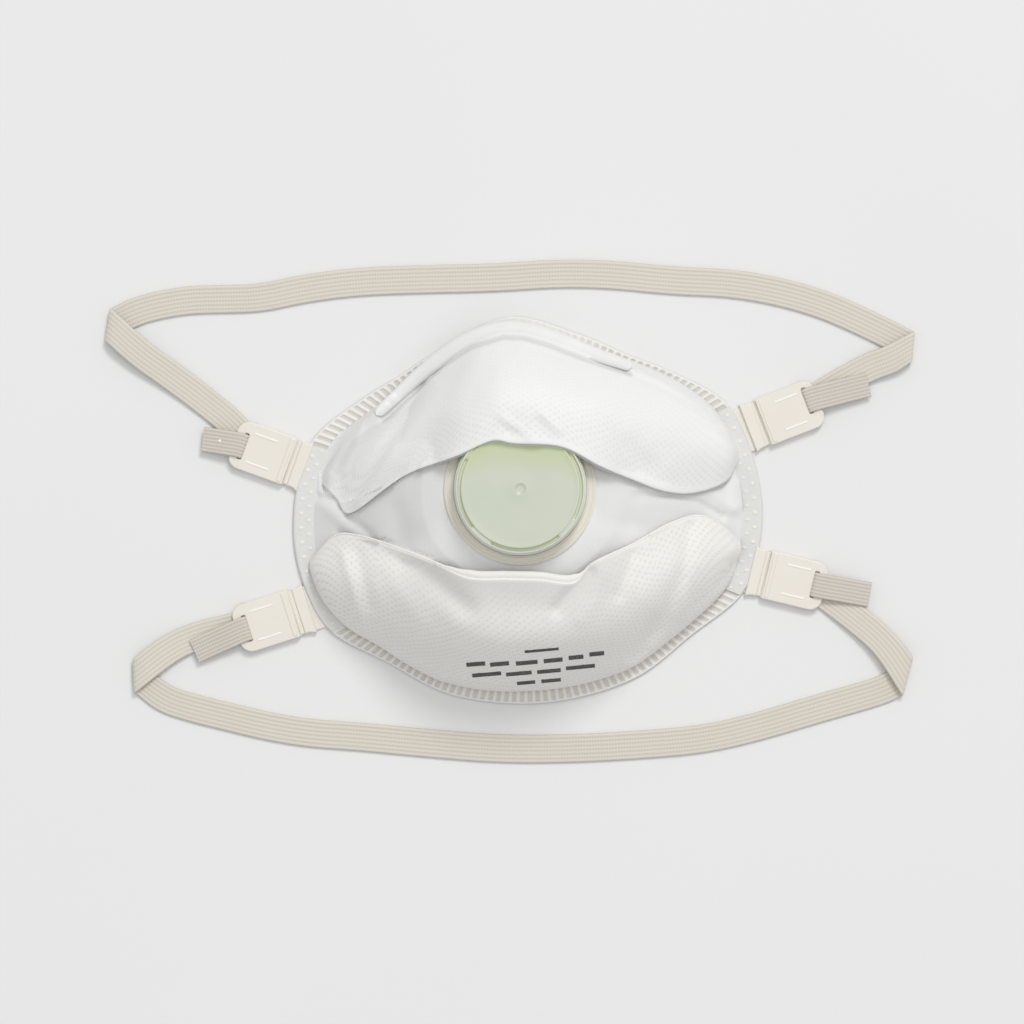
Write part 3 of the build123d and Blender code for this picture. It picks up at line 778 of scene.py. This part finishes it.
def make_centre(look, filter_tree, upper, lower):
    centre = kept_above(centre_grid(), [filter_tree], 0.8)
    centre = tucked(rippled(creased(centre, CENTRE_CREASES), 0.10), (upper, lower))
    centre = kept_above(centre, [filter_tree], 0.05)
    # Painted shade beside the valve, under the lips, goes on as a point attribute.
    panel = piece("centre_panel_fabric", centre, grid_faces(*centre.shape[:2]), look,
                  marks={"painted_shade": tinted(centre, CENTRE_SHADES)})
    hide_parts("centre_panel")


def make_fabric():
    upper_look = nonwoven("upper_fabric", (0.83, 0.83, 0.82), (0.79, 0.79, 0.78), dots=0.4)
    lower_look = nonwoven("lower_fabric", (0.845, 0.835, 0.80), (0.795, 0.785, 0.75), dots=0.55)
    centre_look = nonwoven("centre_fabric", (0.82, 0.82, 0.81), (0.76, 0.76, 0.75))
    under = [node_tree("filter_layer"), node_tree("centre_panel")]
    upper = make_upper(upper_look, centre_look, under)
    lower = make_lower(lower_look, under)
    make_centre(centre_look, under[0], upper, lower)
    return upper, lower


# ---- Welded edge ----
WELD_PITCH = 2.4
DOT_PITCH = 4.5
DOT_LANES = ((0.34, 0.0, 0.42), (0.66, 2.25, 0.34))
# Where the side strips begin and end, as places on the rim.
STRIP_TOP = 4.17
STRIP_BOTTOM = 8.03


def welded_edge(name, node_name, start, end, strip, look):
    """Part of the flat edge round the mask. Over the nose and chin it has radial weld bars, and
    at the sides a smooth strip with rows of weld dots."""
    place = np.linspace(start, end, int((end - start) * 110))
    outer = rim_point(place)
    run = lengths(outer)
    share = np.concatenate([[-0.02, 0.0, 0.0, 0.04], np.linspace(0.1, 1.16, 22)])[:, None]
    width = rim_width(outer[:, 0])[None, :]
    inset = share * width
    plan = np.stack([rim_point(place, row) for row in inset])
    along = run[None, :] + 0 * share
    bars = 0.5 + 0.5 * np.tanh(3.0 * np.sin(2 * pi * along / WELD_PITCH) + 0.3)
    inside = clamp((inset - 0.5) / 0.3) * clamp((width - 0.1 - inset) / 0.5)
    faded = np.where(outer[:, 1] > 0, np.clip((np.abs(outer[:, 0]) - 12) / 16, 0.12, 1), 1)
    pressed = bars * inside * (1 - strip) * faded
    dots = np.zeros_like(along)
    for lane, shift, radius in DOT_LANES:
        cycle = (along + shift) % DOT_PITCH - DOT_PITCH / 2
        off = (share - lane) * width / radius
        dots = np.maximum(dots, np.exp(-((cycle / radius) ** 2 + off ** 2)))
    dots = dots * strip
    height = 1.35 + 0.22 * strip - 0.32 * pressed + 0.28 * dots + 0.04 * np.sin(along / 2.9)
    height[0] = 0.25
    height[1] = 0.6
    height[2] = 1.1
    height[3] -= 0.08
    plan[0] = plan[1]
    points = np.concatenate([plan, height[..., None]], axis=-1)
    # The weld dots' pale cream is a painted highlight on the raised dots.
    marks = {"detail": pressed, "strip": np.full(along.shape, float(strip)), "painted_dot_highlight": dots}
    made = piece(name, points, grid_faces(*along.shape), look, marks=marks)
    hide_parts(node_name)


def make_edges():
    look = welded("welded_edge")
    top, bottom, count = STRIP_TOP, STRIP_BOTTOM, len(RIM)
    welded_edge("welded_edge_upper", "rim_weld_upper", count - top, count + top, 0, look)
    welded_edge("side_strip_right_fabric", "side_strip_right", top, bottom, 1, look)
    welded_edge("welded_edge_lower", "rim_weld_lower", bottom, count - bottom, 0, look)
    welded_edge("side_strip_left_fabric", "side_strip_left", count - bottom, count - top, 1, look)


# ---- Nose clip and printed marks ----
# The clip's section: how far across, in half widths, and how high.
CLIP_SECTION = [(-1.0, -0.5), (-1.0, 0.2), (-0.94, 0.5), (-0.8, 0.72), (-0.62, 0.8), (-0.4, 0.66),
                (-0.18, 0.5), (0.0, 0.46), (0.18, 0.5), (0.4, 0.66), (0.62, 0.8), (0.8, 0.72),
                (0.94, 0.5), (1.0, 0.2), (1.0, -0.5), (0.5, -0.6), (-0.5, -0.6)]


def make_clip(upper):
    """A coated double wire laid over the nose, narrower towards its ends, with a pressed dimple
    near each end."""
    tree = tree_of(upper)
    line = np.array(CLIP_LINE)
    stations = lengths(line)
    at = np.linspace(0, stations[-1], 220)
    middle = smooth_line(line, stations, at)
    way = unit(np.gradient(middle, axis=0))
    side = np.stack([-way[:, 1], way[:, 0]], axis=1)
    edge_heights = []
    for share in (-1, 0, 1):
        places = middle + side * share * CLIP_HALF
        raw = np.array([height_on(tree, x, y) for x, y in places])
        kernel = np.ones(21) / 21
        edge_heights.append(np.convolve(np.pad(raw, 10, mode="edge"), kernel, mode="valid"))
    below, on, above = edge_heights
    tilt = np.clip((above - below) / 2, -2.4, 0.4)
    level = np.maximum(on, (above + below) / 2) + 0.15
    end = np.minimum(at, stations[-1] - at)
    narrow = np.sqrt(np.clip(1 - (1 - clamp(end / 1.6)) ** 2, 0.05, 1))
    half = CLIP_HALF * narrow * (0.7 + 0.3 * clamp(end / 22))
    dimple = np.exp(-((end - 5.5) / 0.7) ** 2)
    rows = []
    for a, c in CLIP_SECTION:
        pressed = 0.45 * dimple * np.exp(-((a + 0.1) / 0.35) ** 2) * (c > 0)
        plan = middle + side * (a * half)[:, None]
        height = level + tilt * a * narrow + c * (0.35 + 0.65 * narrow) - pressed
        rows.append(np.column_stack([plan, height]))
    points = np.array(rows).swapaxes(0, 1)
    look = moulded("clip_coating", (0.79, 0.79, 0.785), (0.74, 0.74, 0.735), 0.42, 0.00002,
                   marked=(0.58, 0.58, 0.575))
    # The clip's lower flank is painted darker, as painted shade under its edge.
    across = np.array([a for a, _ in CLIP_SECTION])
    painted_shade_flank = clamp((-across - 0.5) / 0.3) * np.ones((len(at), 1))
    clip = piece("nose_clip_strip", points, tube_faces(*points.shape[:2]), look,
                 marks={"detail": painted_shade_flank})
    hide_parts("nose_clip")


# Plain bars in four rows stand for the print: each row is its y, its height and the bars' x.
PRINT_ROWS = [
    (-41.2, 0.8, [(-4.5, 5.5)]),
    (-44.6, 1.3, [(-22.0, -16.4), (-15.0, -9.4), (-7.4, -1.0), (0.8, 6.4), (8.2, 12.6), (14.4, 18.8)]),
    (-47.8, 1.2, [(-20.6, -12.0), (-10.6, -3.0), (-1.4, 5.6), (7.2, 15.8)]),
    (-50.8, 1.1, [(-7.6, -2.2), (-0.4, 5.4)]),
]


def make_print(lower):
    tree = tree_of(lower)
    points, faces = [], []
    for y, tall, bars in PRINT_ROWS:
        for x0, x1 in bars:
            bend = 0.0025 * ((x0 + x1) / 2) ** 2
            across = np.linspace(x0, x1, int((x1 - x0) / 0.5) + 2)
            up = np.linspace(-tall / 2, tall / 2, 4)
            start = len(points)
            for v in up:
                for u in across:
                    place_y = y + bend + v
                    points.append((u, place_y, height_on(tree, u, place_y) + 0.05))
            faces += (grid_faces(len(up), len(across)) + start).tolist()
    look, tree_nodes, shader = material("print_ink", 0.7)
    ramp(tree_nodes, fibres(tree_nodes), shader.inputs["Base Color"], (0.45, 0.02, 0.02, 0.02),
         (0.75, 0.16, 0.16, 0.155))
    piece("print_bars", points, faces, look)


# ---- Valve ----
TURN_POINTS = 256


def turned(name, profile, look, slot, shape=None):
    """A ring-shaped piece: the profile (radius, height) turned about the valve's axis."""
    angle = np.linspace(0, 2 * pi, TURN_POINTS, endpoint=False)
    radius = np.array([r for r, _ in profile])[:, None] + 0 * angle
    height = np.array([z for _, z in profile])[:, None] + 0 * angle
    values = {}
    if shape:
        height, values = shape(radius, height, angle)
    points = np.stack([VALVE_X + radius * np.cos(angle), VALVE_Y + radius * np.sin(angle), height],
                      axis=-1)
    return piece(name, points, grid_faces(*radius.shape, close_columns=True), look,
                 marks=values)


# The cover's outlet slots: half their angle, their radii and depth. And the upper lip over them.
SLOT_HALF = 34.0
SLOT_IN = 17.3
SLOT_OUT = 18.3
SLOT_DEPTH = 0.8
LIP_OVER_VALVE = [(-18.7, 18.2), (-7.6, 21.6), (-3.0, 20.4), (11.8, 17.9), (22.5, 11.3)]
COVER_ABOVE_FLANGE = 8.45
# The cover's radius and drop from its top, and the flange's radius and height.
CAP_PROFILE = [
    (19.4, 8.4), (19.4, 3.4), (19.35, 3.1), (19.05, 2.9), (18.9, 2.7), (18.85, 1.0), (18.75, 0.65),
    (18.5, 0.5), (18.35, 0.48), (18.28, 0.48), (18.2, 0.48), (17.8, 0.48), (17.4, 0.48),
    (17.32, 0.42), (17.22, 0.05), (17.0, 0), (16.7, 0.02), (16.2, 0.12), (15.0, 0.13),
    (14.0, 0.14), (13.0, 0.15), (12.0, 0.16), (10.5, 0.16), (9.0, 0.17), (7.5, 0.17), (6.0, 0.18),
    (2.4, 0.18), (1.9, 0.1), (1.6, 0.12), (1.3, 0.42), (0.7, 0.5), (0.01, 0.5),
]
FLANGE_PROFILE = [
    (15.0, -1.2), (21.6, -1.2), (22.1, -1.05), (22.2, -0.6), (22.1, -0.1), (21.8, 0.1),
    (21.4, 0.12), (21.1, -0.05), (20.6, -0.12), (20.2, 0), (20.0, 0.5), (19.75, 0.7), (19.5, 0.66),
    (19.42, 0),
]


def slotted(radius, height, angle):
    """Sinks the four curved outlet slots round the cover's top, and marks where the cover is painted:
    the slots, a painted highlight on its edge rings, and painted shade near the upper lip.
    """
    off = np.abs((np.degrees(angle) + 45) % 90 - 45)
    inside = clamp((SLOT_HALF - off) / 0.8)[None, :]
    band = clamp((radius - SLOT_IN) / 0.08) * clamp((SLOT_OUT - radius) / 0.08)
    sunk = inside * band
    # Painted highlight: paler rings at the shoulder and at the slots' inner bevel.
    edge = clamp((radius - 18.35) / 0.1) * (radius < 19.38)
    edge = np.maximum(edge, np.exp(-((radius - 17.2) / 0.14) ** 2)) * 0.7
    x = VALVE_X + radius * np.cos(angle)
    y = VALVE_Y + radius * np.sin(angle)
    # Painted shade: greener where the upper lip overhangs the cover.
    painted_lip_shade = clamp(1.15 - near_line(x, y, LIP_OVER_VALVE) / 7.5) * 0.9
    return height - SLOT_DEPTH * sunk, {"detail": sunk, "edge": edge, "painted_lip_shade": painted_lip_shade}


def make_valve():
    cover_look = moulded("valve_cover_plastic", (0.575, 0.61, 0.505), (0.54, 0.58, 0.465), 0.34,
                         marked=(0.60, 0.64, 0.46))
    body_look = moulded("valve_body_plastic", (0.76, 0.73, 0.64), (0.72, 0.68, 0.60), 0.36)
    flap_look = moulded("diaphragm_silicone", (0.74, 0.75, 0.71), (0.68, 0.70, 0.66), 0.45)
    skirt = [(radius, VALVE_TOP - drop) for radius, drop in CAP_PROFILE]
    cap = turned("valve_cap", skirt, cover_look, "valve_cover", shape=slotted)
    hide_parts("valve_cover")
    base_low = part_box("valve_base")[0].z / MM
    flange_top = VALVE_TOP - COVER_ABOVE_FLANGE
    flange = [(15.0, base_low)] + [(radius, flange_top + up) for radius, up in FLANGE_PROFILE]
    turned("valve_flange", flange, body_look, "valve_body")
    for name, look in (("valve_base", body_look), ("valve_retaining_ring", body_look),
                       ("valve_diaphragm", flap_look)):
        refinish(name, look, 0.15)


def refinish(name, look, bevel):
    """A CAD node that stays: its material, and small rounded edges."""
    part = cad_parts[name]
    part.data.materials.clear()
    part.data.materials.append(look)
    rounded = part.modifiers.new("rounded_edges", "BEVEL")
    rounded.width = bevel * MM
    rounded.segments = 2
    rounded.limit_method = "ANGLE"
    rounded.angle_limit = radians(40)


# ---- Inner layers ----
def make_inner():
    liner = nonwoven("liner_fabric", (0.88, 0.88, 0.875), (0.80, 0.80, 0.795))
    fleece = nonwoven("filter_fleece", (0.86, 0.86, 0.85), (0.76, 0.76, 0.75))
    refinish("inner_liner", liner, 0.1)
    refinish("filter_layer", fleece, 0.1)
    refinish("nose_foam", foam("foam_cells"), 0.8)


# ---- Buckles ----
def on_buckle(buckle, u, v, z):
    """The place of a point given along and across a buckle from its fold line."""
    x, y, turn = BUCKLES[buckle]
    c, s = cos(radians(turn)), sin(radians(turn))
    return (x + u * c - v * s, y + u * s + v * c, z)


def rounded_outline(u0, u1, half, near, far):
    """A rectangle from u0 to u1 with one radius at its near corners and one at its far ones."""
    points = []
    corners = ((u1 - far, half - far, far, 0), (u0 + near, half - near, near, 90),
               (u0 + near, -half + near, near, 180), (u1 - far, -half + far, far, 270))
    for u, v, radius, start in corners:
        for step in range(9):
            angle = radians(start + step * 90 / 8)
            points.append((u + radius * cos(angle), v + radius * sin(angle)))
    return points


def plate(name, buckle, outlines, low, high, round_by, look, body):
    """A flat plate with rounded edges, cut to the first outline, with the others as holes."""
    curve = bpy.data.curves.new(name, "CURVE")
    curve.dimensions = "2D"
    curve.fill_mode = "BOTH"
    curve.extrude = (high - low) / 2 - round_by
    curve.bevel_depth = round_by
    curve.bevel_resolution = 3
    curve.offset = -round_by
    for outline in outlines:
        line = curve.splines.new("POLY")
        line.points.add(len(outline) - 1)
        for knot, (u, v) in zip(line.points, outline):
            knot.co = (u, v, 0, 1)
        line.use_cyclic_u = True
    points, faces = opened(name, curve)
    points = [on_buckle(buckle, u, v, z + (low + high) / 2) for u, v, z in points]
    return piece(name, points, faces, look, body=body, sharp=35)


# The plates under and on each buckle: the ends along it, how much narrower a side, the corners'
# radius, the bottom, the top and the edges' rounding. And the neck's flare beside the fold.
BUCKLE_PLATES = {
    "back": (0.45, 13.4, 0.2, 0.4, 0.2, 1.4, 0.3),
    "ridge": (1.6, 3.0, 0.5, 0.4, 2.1, 2.74, 0.3),
    "shoulder": (0.5, 2.2, 0.15, 0.3, 0.3, 2.05, 0.4),
}
NECK_FLARE = [(-0.5, 6.9), (-1.6, 6.95), (-2.6, 7.1), (-3.4, 7.45), (-4.0, 7.6)]
GRIP_ASIDE = 4.4


def make_buckle(buckle, look):
    """A buckle with its slot and grip lines, its neck, and the thin web that bends."""
    body = f"buckle_{buckle}"
    half = BUCKLE_WIDTH / 2
    outline = rounded_outline(0.9, BUCKLE_LENGTH, half, 0.5, 3.6)
    slot_hole = [(u, v + TAILS[buckle][0][1])
                 for u, v in rounded_outline(14.9, 16.1, 3.95, 0.3, 0.3)[::-1]]
    top = plate(f"buckle_plate_{buckle}", buckle, [outline, slot_hole], 1.25, 2.55, 0.35, look,
                body)
    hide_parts(body)
    for kind, (start, end, less, corner, low, high, round_by) in BUCKLE_PLATES.items():
        shape = rounded_outline(start, end, half - less, corner, corner)
        plate(f"buckle_{kind}_{buckle}", buckle, [shape], low, high, round_by, look, body)
    grip = rounded_outline(6.2, 13.4, 0.28, 0.25, 0.25)
    for number, side in enumerate((1, -1)):
        shape = [(u, v + side * GRIP_ASIDE) for u, v in grip]
        line = plate(f"buckle_line_{buckle}_{number + 1}", buckle, [shape], 2.3, 2.72, 0.08, look,
                     body)
        # The grip lines are painted paler, as a painted highlight.
        mark_all(line, "detail")
    neck = NECK_FLARE + [(u, -v) for u, v in reversed(NECK_FLARE)]
    plate(f"buckle_neck_{buckle}", buckle, [neck], 0.1, 1.9, 0.45, look, "root")
    web = plate(f"hinge_web_{buckle}", buckle, [rounded_outline(-1.2, 1.6, half - 0.5, 0.2, 0.2)],
                0.35, 1.38, 0.2, look, None)
    refine(web)
    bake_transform(web)


WEB_VOXEL = 0.16


def refine(web):
    """More points along the thin web, so that it bends evenly."""
    bpy.context.view_layer.objects.active = web
    cut = web.modifiers.new("finer", "REMESH")
    cut.mode = "VOXEL"
    cut.voxel_size = WEB_VOXEL * MM
    bpy.context.view_layer.update()
    made = bpy.data.meshes.new_from_object(web.evaluated_get(bpy.context.evaluated_depsgraph_get()))
    web.modifiers.clear()
    web.data = made
    made.shade_smooth()


# ---- Straps ----
def nurbs(points):
    """The smooth line of a flexible strap whose control points are given."""
    curve = bpy.data.curves.new("route", "CURVE")
    curve.dimensions = "3D"
    curve.resolution_u = 16
    line = curve.splines.new("NURBS")
    line.points.add(len(points) - 1)
    for knot, (x, y, z) in zip(line.points, points):
        knot.co = (x, y, z, 1)
    line.order_u = 3
    line.use_endpoint_u = True
    return opened("route", curve)[0]


def strap_sides(points, folds):
    """Half the strap's width at each control point, as a vector. It lies across the route, and
    along the crease at a fold's two points, past which the strap's other face is up."""
    points = np.array(points, float)
    last = len(points) - 1
    sides = []
    face = 1
    for i in range(len(points)):
        if i in folds and i - 1 in folds:
            sides.append(sides[-1].copy())
            face = -face
        elif i in folds:
            before = unit((points[i] - points[i - 1]) * (1, 1, 0))
            crease = np.array([cos(radians(folds[i])), sin(radians(folds[i])), 0])
            crease *= np.sign(crease @ sides[-1])
            slope = abs(before[0] * crease[1] - before[1] * crease[0])
            sides.append(crease * (STRAP_WIDTH / 2) / max(slope, 0.6))
        else:
            way = unit((points[min(i + 1, last)] - points[max(i - 1, 0)]) * (1, 1, 0))
            sides.append(np.array([-way[1], way[0], 0]) * face * STRAP_WIDTH / 2)
    return np.array(sides)


CORDS = 7
RING_POINTS = 43


def ribbon(points, sides, ribs=0.10):
    """A flat ribbed strap along a route, as rings of points: (points, UV, how deep in a groove,
    the middle line, how far along it)."""
    middle = nurbs(points)
    half = nurbs(np.array(points) + sides) - middle
    way = unit(np.gradient(middle, axis=0))
    up = unit(np.cross(way, half))
    a = (np.sin(np.linspace(-pi / 2, pi / 2, RING_POINTS)) * 0.35
         + np.linspace(-1, 1, RING_POINTS) * 0.65)
    groove = 1 - np.abs(np.cos(pi * CORDS / 2 * a)) ** 0.7
    body = (1 - np.abs(a) ** 14) ** 0.5
    top = (STRAP_THICK / 2) * body - ribs * groove * body
    bottom = -(STRAP_THICK / 2) * body + 1.4 * ribs * groove * body
    ring_a = np.concatenate([a, a[-2:0:-1]])
    ring_off = np.concatenate([top, bottom[-2:0:-1]])
    ring_groove = np.concatenate([groove, groove[-2:0:-1] * 1.15])
    rings = (middle[:, None] + half[:, None] * ring_a[None, :, None]
             + up[:, None] * ring_off[None, :, None])
    run = lengths(middle)
    width = np.linalg.norm(half, axis=1).min()
    uv = np.stack(np.broadcast_arrays(ring_a[None, :] * width, run[:, None]), axis=-1)
    return rings, uv, np.broadcast_to(ring_groove, rings.shape[:2]), middle, run


def strap_piece(name, made, first, last, look, body):
    """A stretch of a ribbon as a closed piece."""
    rings, uv, groove = (part[first:last] for part in made[:3])
    return piece(name, rings, tube_faces(*rings.shape[:2]), look, body=body,
                 uv=uv, marks={"detail": groove}, sharp=65)


# Each strap's route on the table, from left to right, in the frame: a point without a height lies
# flat. FOLDS gives the crease's angle at a fold's two points, counted from the first of LEAVES.
FLAT_HEIGHT = 0.55
UPPER_ROUTE = [
    (-93.8, 42.4, 0.8), (-103.0, 50.6, 1.5), (-110.6, 57.0, 2.7), (-119.0, 66.3, 3.4),
    (-119.0, 66.3, 0.6), (-111.0, 69.6), (-103.0, 71.0), (-94.0, 71.6), (-83, 70.8), (-73, 70.2),
    (-60, 71.9), (-44, 72.5), (-24, 71.4), (-3, 69.9), (14, 69.6), (30, 68.0), (50, 64.1),
    (66, 62.1), (80.5, 58.3), (94, 53.0), (106, 46.2), (113.5, 41.6), (118.6, 38.2, 0.6),
    (118.6, 38.2, 3.2), (112.0, 34.9, 2.5), (105.0, 33.4, 1.5),
]
UPPER_FOLDS = {5: 76.0, 6: 76.0, 24: 80.0, 25: 80.0}
LOWER_ROUTE = [
    (-101.5, -28.2, 0.9), (-110.0, -31.2, 1.8), (-120.8, -38.3, 3.2), (-120.8, -38.3, 0.6),
    (-113.0, -46.0), (-105.0, -49.4), (-95.0, -52.8), (-82.5, -57.1), (-70, -60.3), (-57, -62.3),
    (-38, -65.9), (-15, -70.0), (8, -71.9), (30, -72.6), (47, -72.6), (63, -70.3), (80.5, -66.7),
    (94, -64.2), (101.5, -62.6), (108.2, -59.3, 0.6), (108.2, -59.3, 3.2), (103.6, -50.6, 2.6),
    (97.8, -43.8, 1.6),
]
LOWER_FOLDS = {4: 87.0, 5: 87.0, 21: 70.0, 22: 70.0}
# How each strap leaves its two buckles, and the loose tail on top: (along, across, height) on the
# buckle.
LEAVES = {
    "upper_left": [(15.6, -1.5, 0.62), (19.0, -4.3, 0.66)],
    "upper_right": [(15.6, 0.9, 0.62), (20.0, 1.7, 0.66)],
    "lower_left": [(15.6, -1.4, 0.62), (20.0, -1.5, 0.66)],
    "lower_right": [(15.6, -0.3, 0.62), (19.5, -1.9, 0.66)],
}
TAILS = {
    "upper_left": [(16.9, 0.35, 3.2), (20.0, 0.95, 3.1), (24.0, 1.7, 2.5), (27.5, 2.45, 2.1)],
    "upper_right": [(17.0, 1.3, 3.2), (21.5, 0.75, 3.0), (28.0, 0.0, 2.3), (34.2, -0.8, 1.95)],
    "lower_left": [(17.2, 0.1, 3.2), (21.5, 0.6, 3.0), (27.0, 1.2, 2.3), (32.4, 1.9, 1.95)],
    "lower_right": [(17.0, 0.4, 3.2), (21.0, 0.65, 3.0), (26.5, 1.0, 2.4), (32.2, 1.3, 2.05)],
}
# The tail's way up through the slot: (along, height).
TAIL_RISE = [(17.4, 0.62), (15.6, 0.7), (15.1, 1.9), (15.3, 3.1)]
WELD_SPOT = (22.6, 1.2, 0.45)
BLEND_END = 42.0


def follow_buckle(obj):
    """Puts the piece's placement into its points."""
    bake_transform(obj)


def reach_from(buckle, middle):
    """How far each point of a line lies along a buckle's own direction."""
    x, y, turn = BUCKLES[buckle]
    return (middle[:, 0] - x) * cos(radians(turn)) + (middle[:, 1] - y) * sin(radians(turn))


def make_strap(level, route, folds, look):
    """A strap in three pieces: the free middle, and a lead at each end by its buckle."""
    left, right = f"{level}_left", f"{level}_right"
    points = [on_buckle(left, *p) for p in LEAVES[left]]
    points += [p if len(p) == 3 else (*p, FLAT_HEIGHT) for p in route]
    points += [on_buckle(right, *p) for p in reversed(LEAVES[right])]
    made = ribbon(points, strap_sides(points, folds))
    middle, run = made[3], made[4]
    half = len(middle) // 2
    first = int(np.argmax(reach_from(left, middle[:half]) > BLEND_END + 0.5)) + 1
    last = half + int(np.argmax(reach_from(right, middle[half:]) > BLEND_END + 0.5))
    for buckle, start, end in ((left, 0, first + 1), (right, last - 1, len(middle))):
        lead = strap_piece(f"strap_lead_{buckle}", made, start, end, look, None)
        follow_buckle(lead)
    whole = strap_piece(f"{level}_strap_webbing", made, first, last, look, "root")
    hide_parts(f"{level}_strap")


def make_tail(buckle, look):
    """The strap's end: up through the buckle's slot, over its end bar, and loose on top."""
    aside = TAILS[buckle][0][1]
    local = [(u, aside, z) for u, z in TAIL_RISE] + TAILS[buckle]
    points = [on_buckle(buckle, *p) for p in local]
    turn = radians(BUCKLES[buckle][2])
    sides = []
    for i, (u, v, _) in enumerate(local):
        before, after = local[max(i - 1, 4)], local[min(max(i + 1, 5), len(local) - 1)]
        slope = atan2(after[1] - before[1], after[0] - before[0]) if i > 3 else 0.0
        angle = turn + slope + pi / 2
        sides.append(np.array([cos(angle), sin(angle), 0]) * TAIL_WIDTH / 2)
    made = ribbon(points, np.array(sides), ribs=0.16)
    tail = strap_piece(f"strap_tail_{buckle}", made, 0, len(made[0]), look, None)
    follow_buckle(tail)
    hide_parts(f"strap_end_{buckle}")
    if buckle == "upper_left":
        u, v, radius = WELD_SPOT
        turns = [radians(a) for a in range(0, 360, 30)]
        spot = [(u + radius * cos(a), v + radius * sin(a)) for a in turns]
        weld = plate("tail_weld_spot", buckle, [spot], 2.9, 3.35, 0.12, look, None)
        follow_buckle(weld)
        mark_all(weld, "pale")


add_camera()
webbing = elastic("elastic_webbing", (0.70, 0.66, 0.585), (0.63, 0.58, 0.50))
tail_webbing = elastic("tail_webbing", (0.65, 0.605, 0.54), (0.49, 0.445, 0.385))
make_strap("upper", UPPER_ROUTE, UPPER_FOLDS, webbing)
make_strap("lower", LOWER_ROUTE, LOWER_FOLDS, webbing)
# The marked colour is the buckle grip lines' painted highlight.
buckle_look = moulded("buckle_plastic", (0.775, 0.735, 0.665), (0.75, 0.705, 0.63), 0.36,
                      marked=(0.88, 0.86, 0.82))
for buckle_name in BUCKLES:
    make_buckle(buckle_name, buckle_look)
    make_tail(buckle_name, tail_webbing)
for yoke in ("side_yoke_left", "side_yoke_right"):
    refinish(yoke, buckle_look, 0.1)
make_edges()
upper_grid, lower_grid = make_fabric()
make_clip(upper_grid)
make_print(lower_grid)
make_valve()
make_inner()
add_stage()
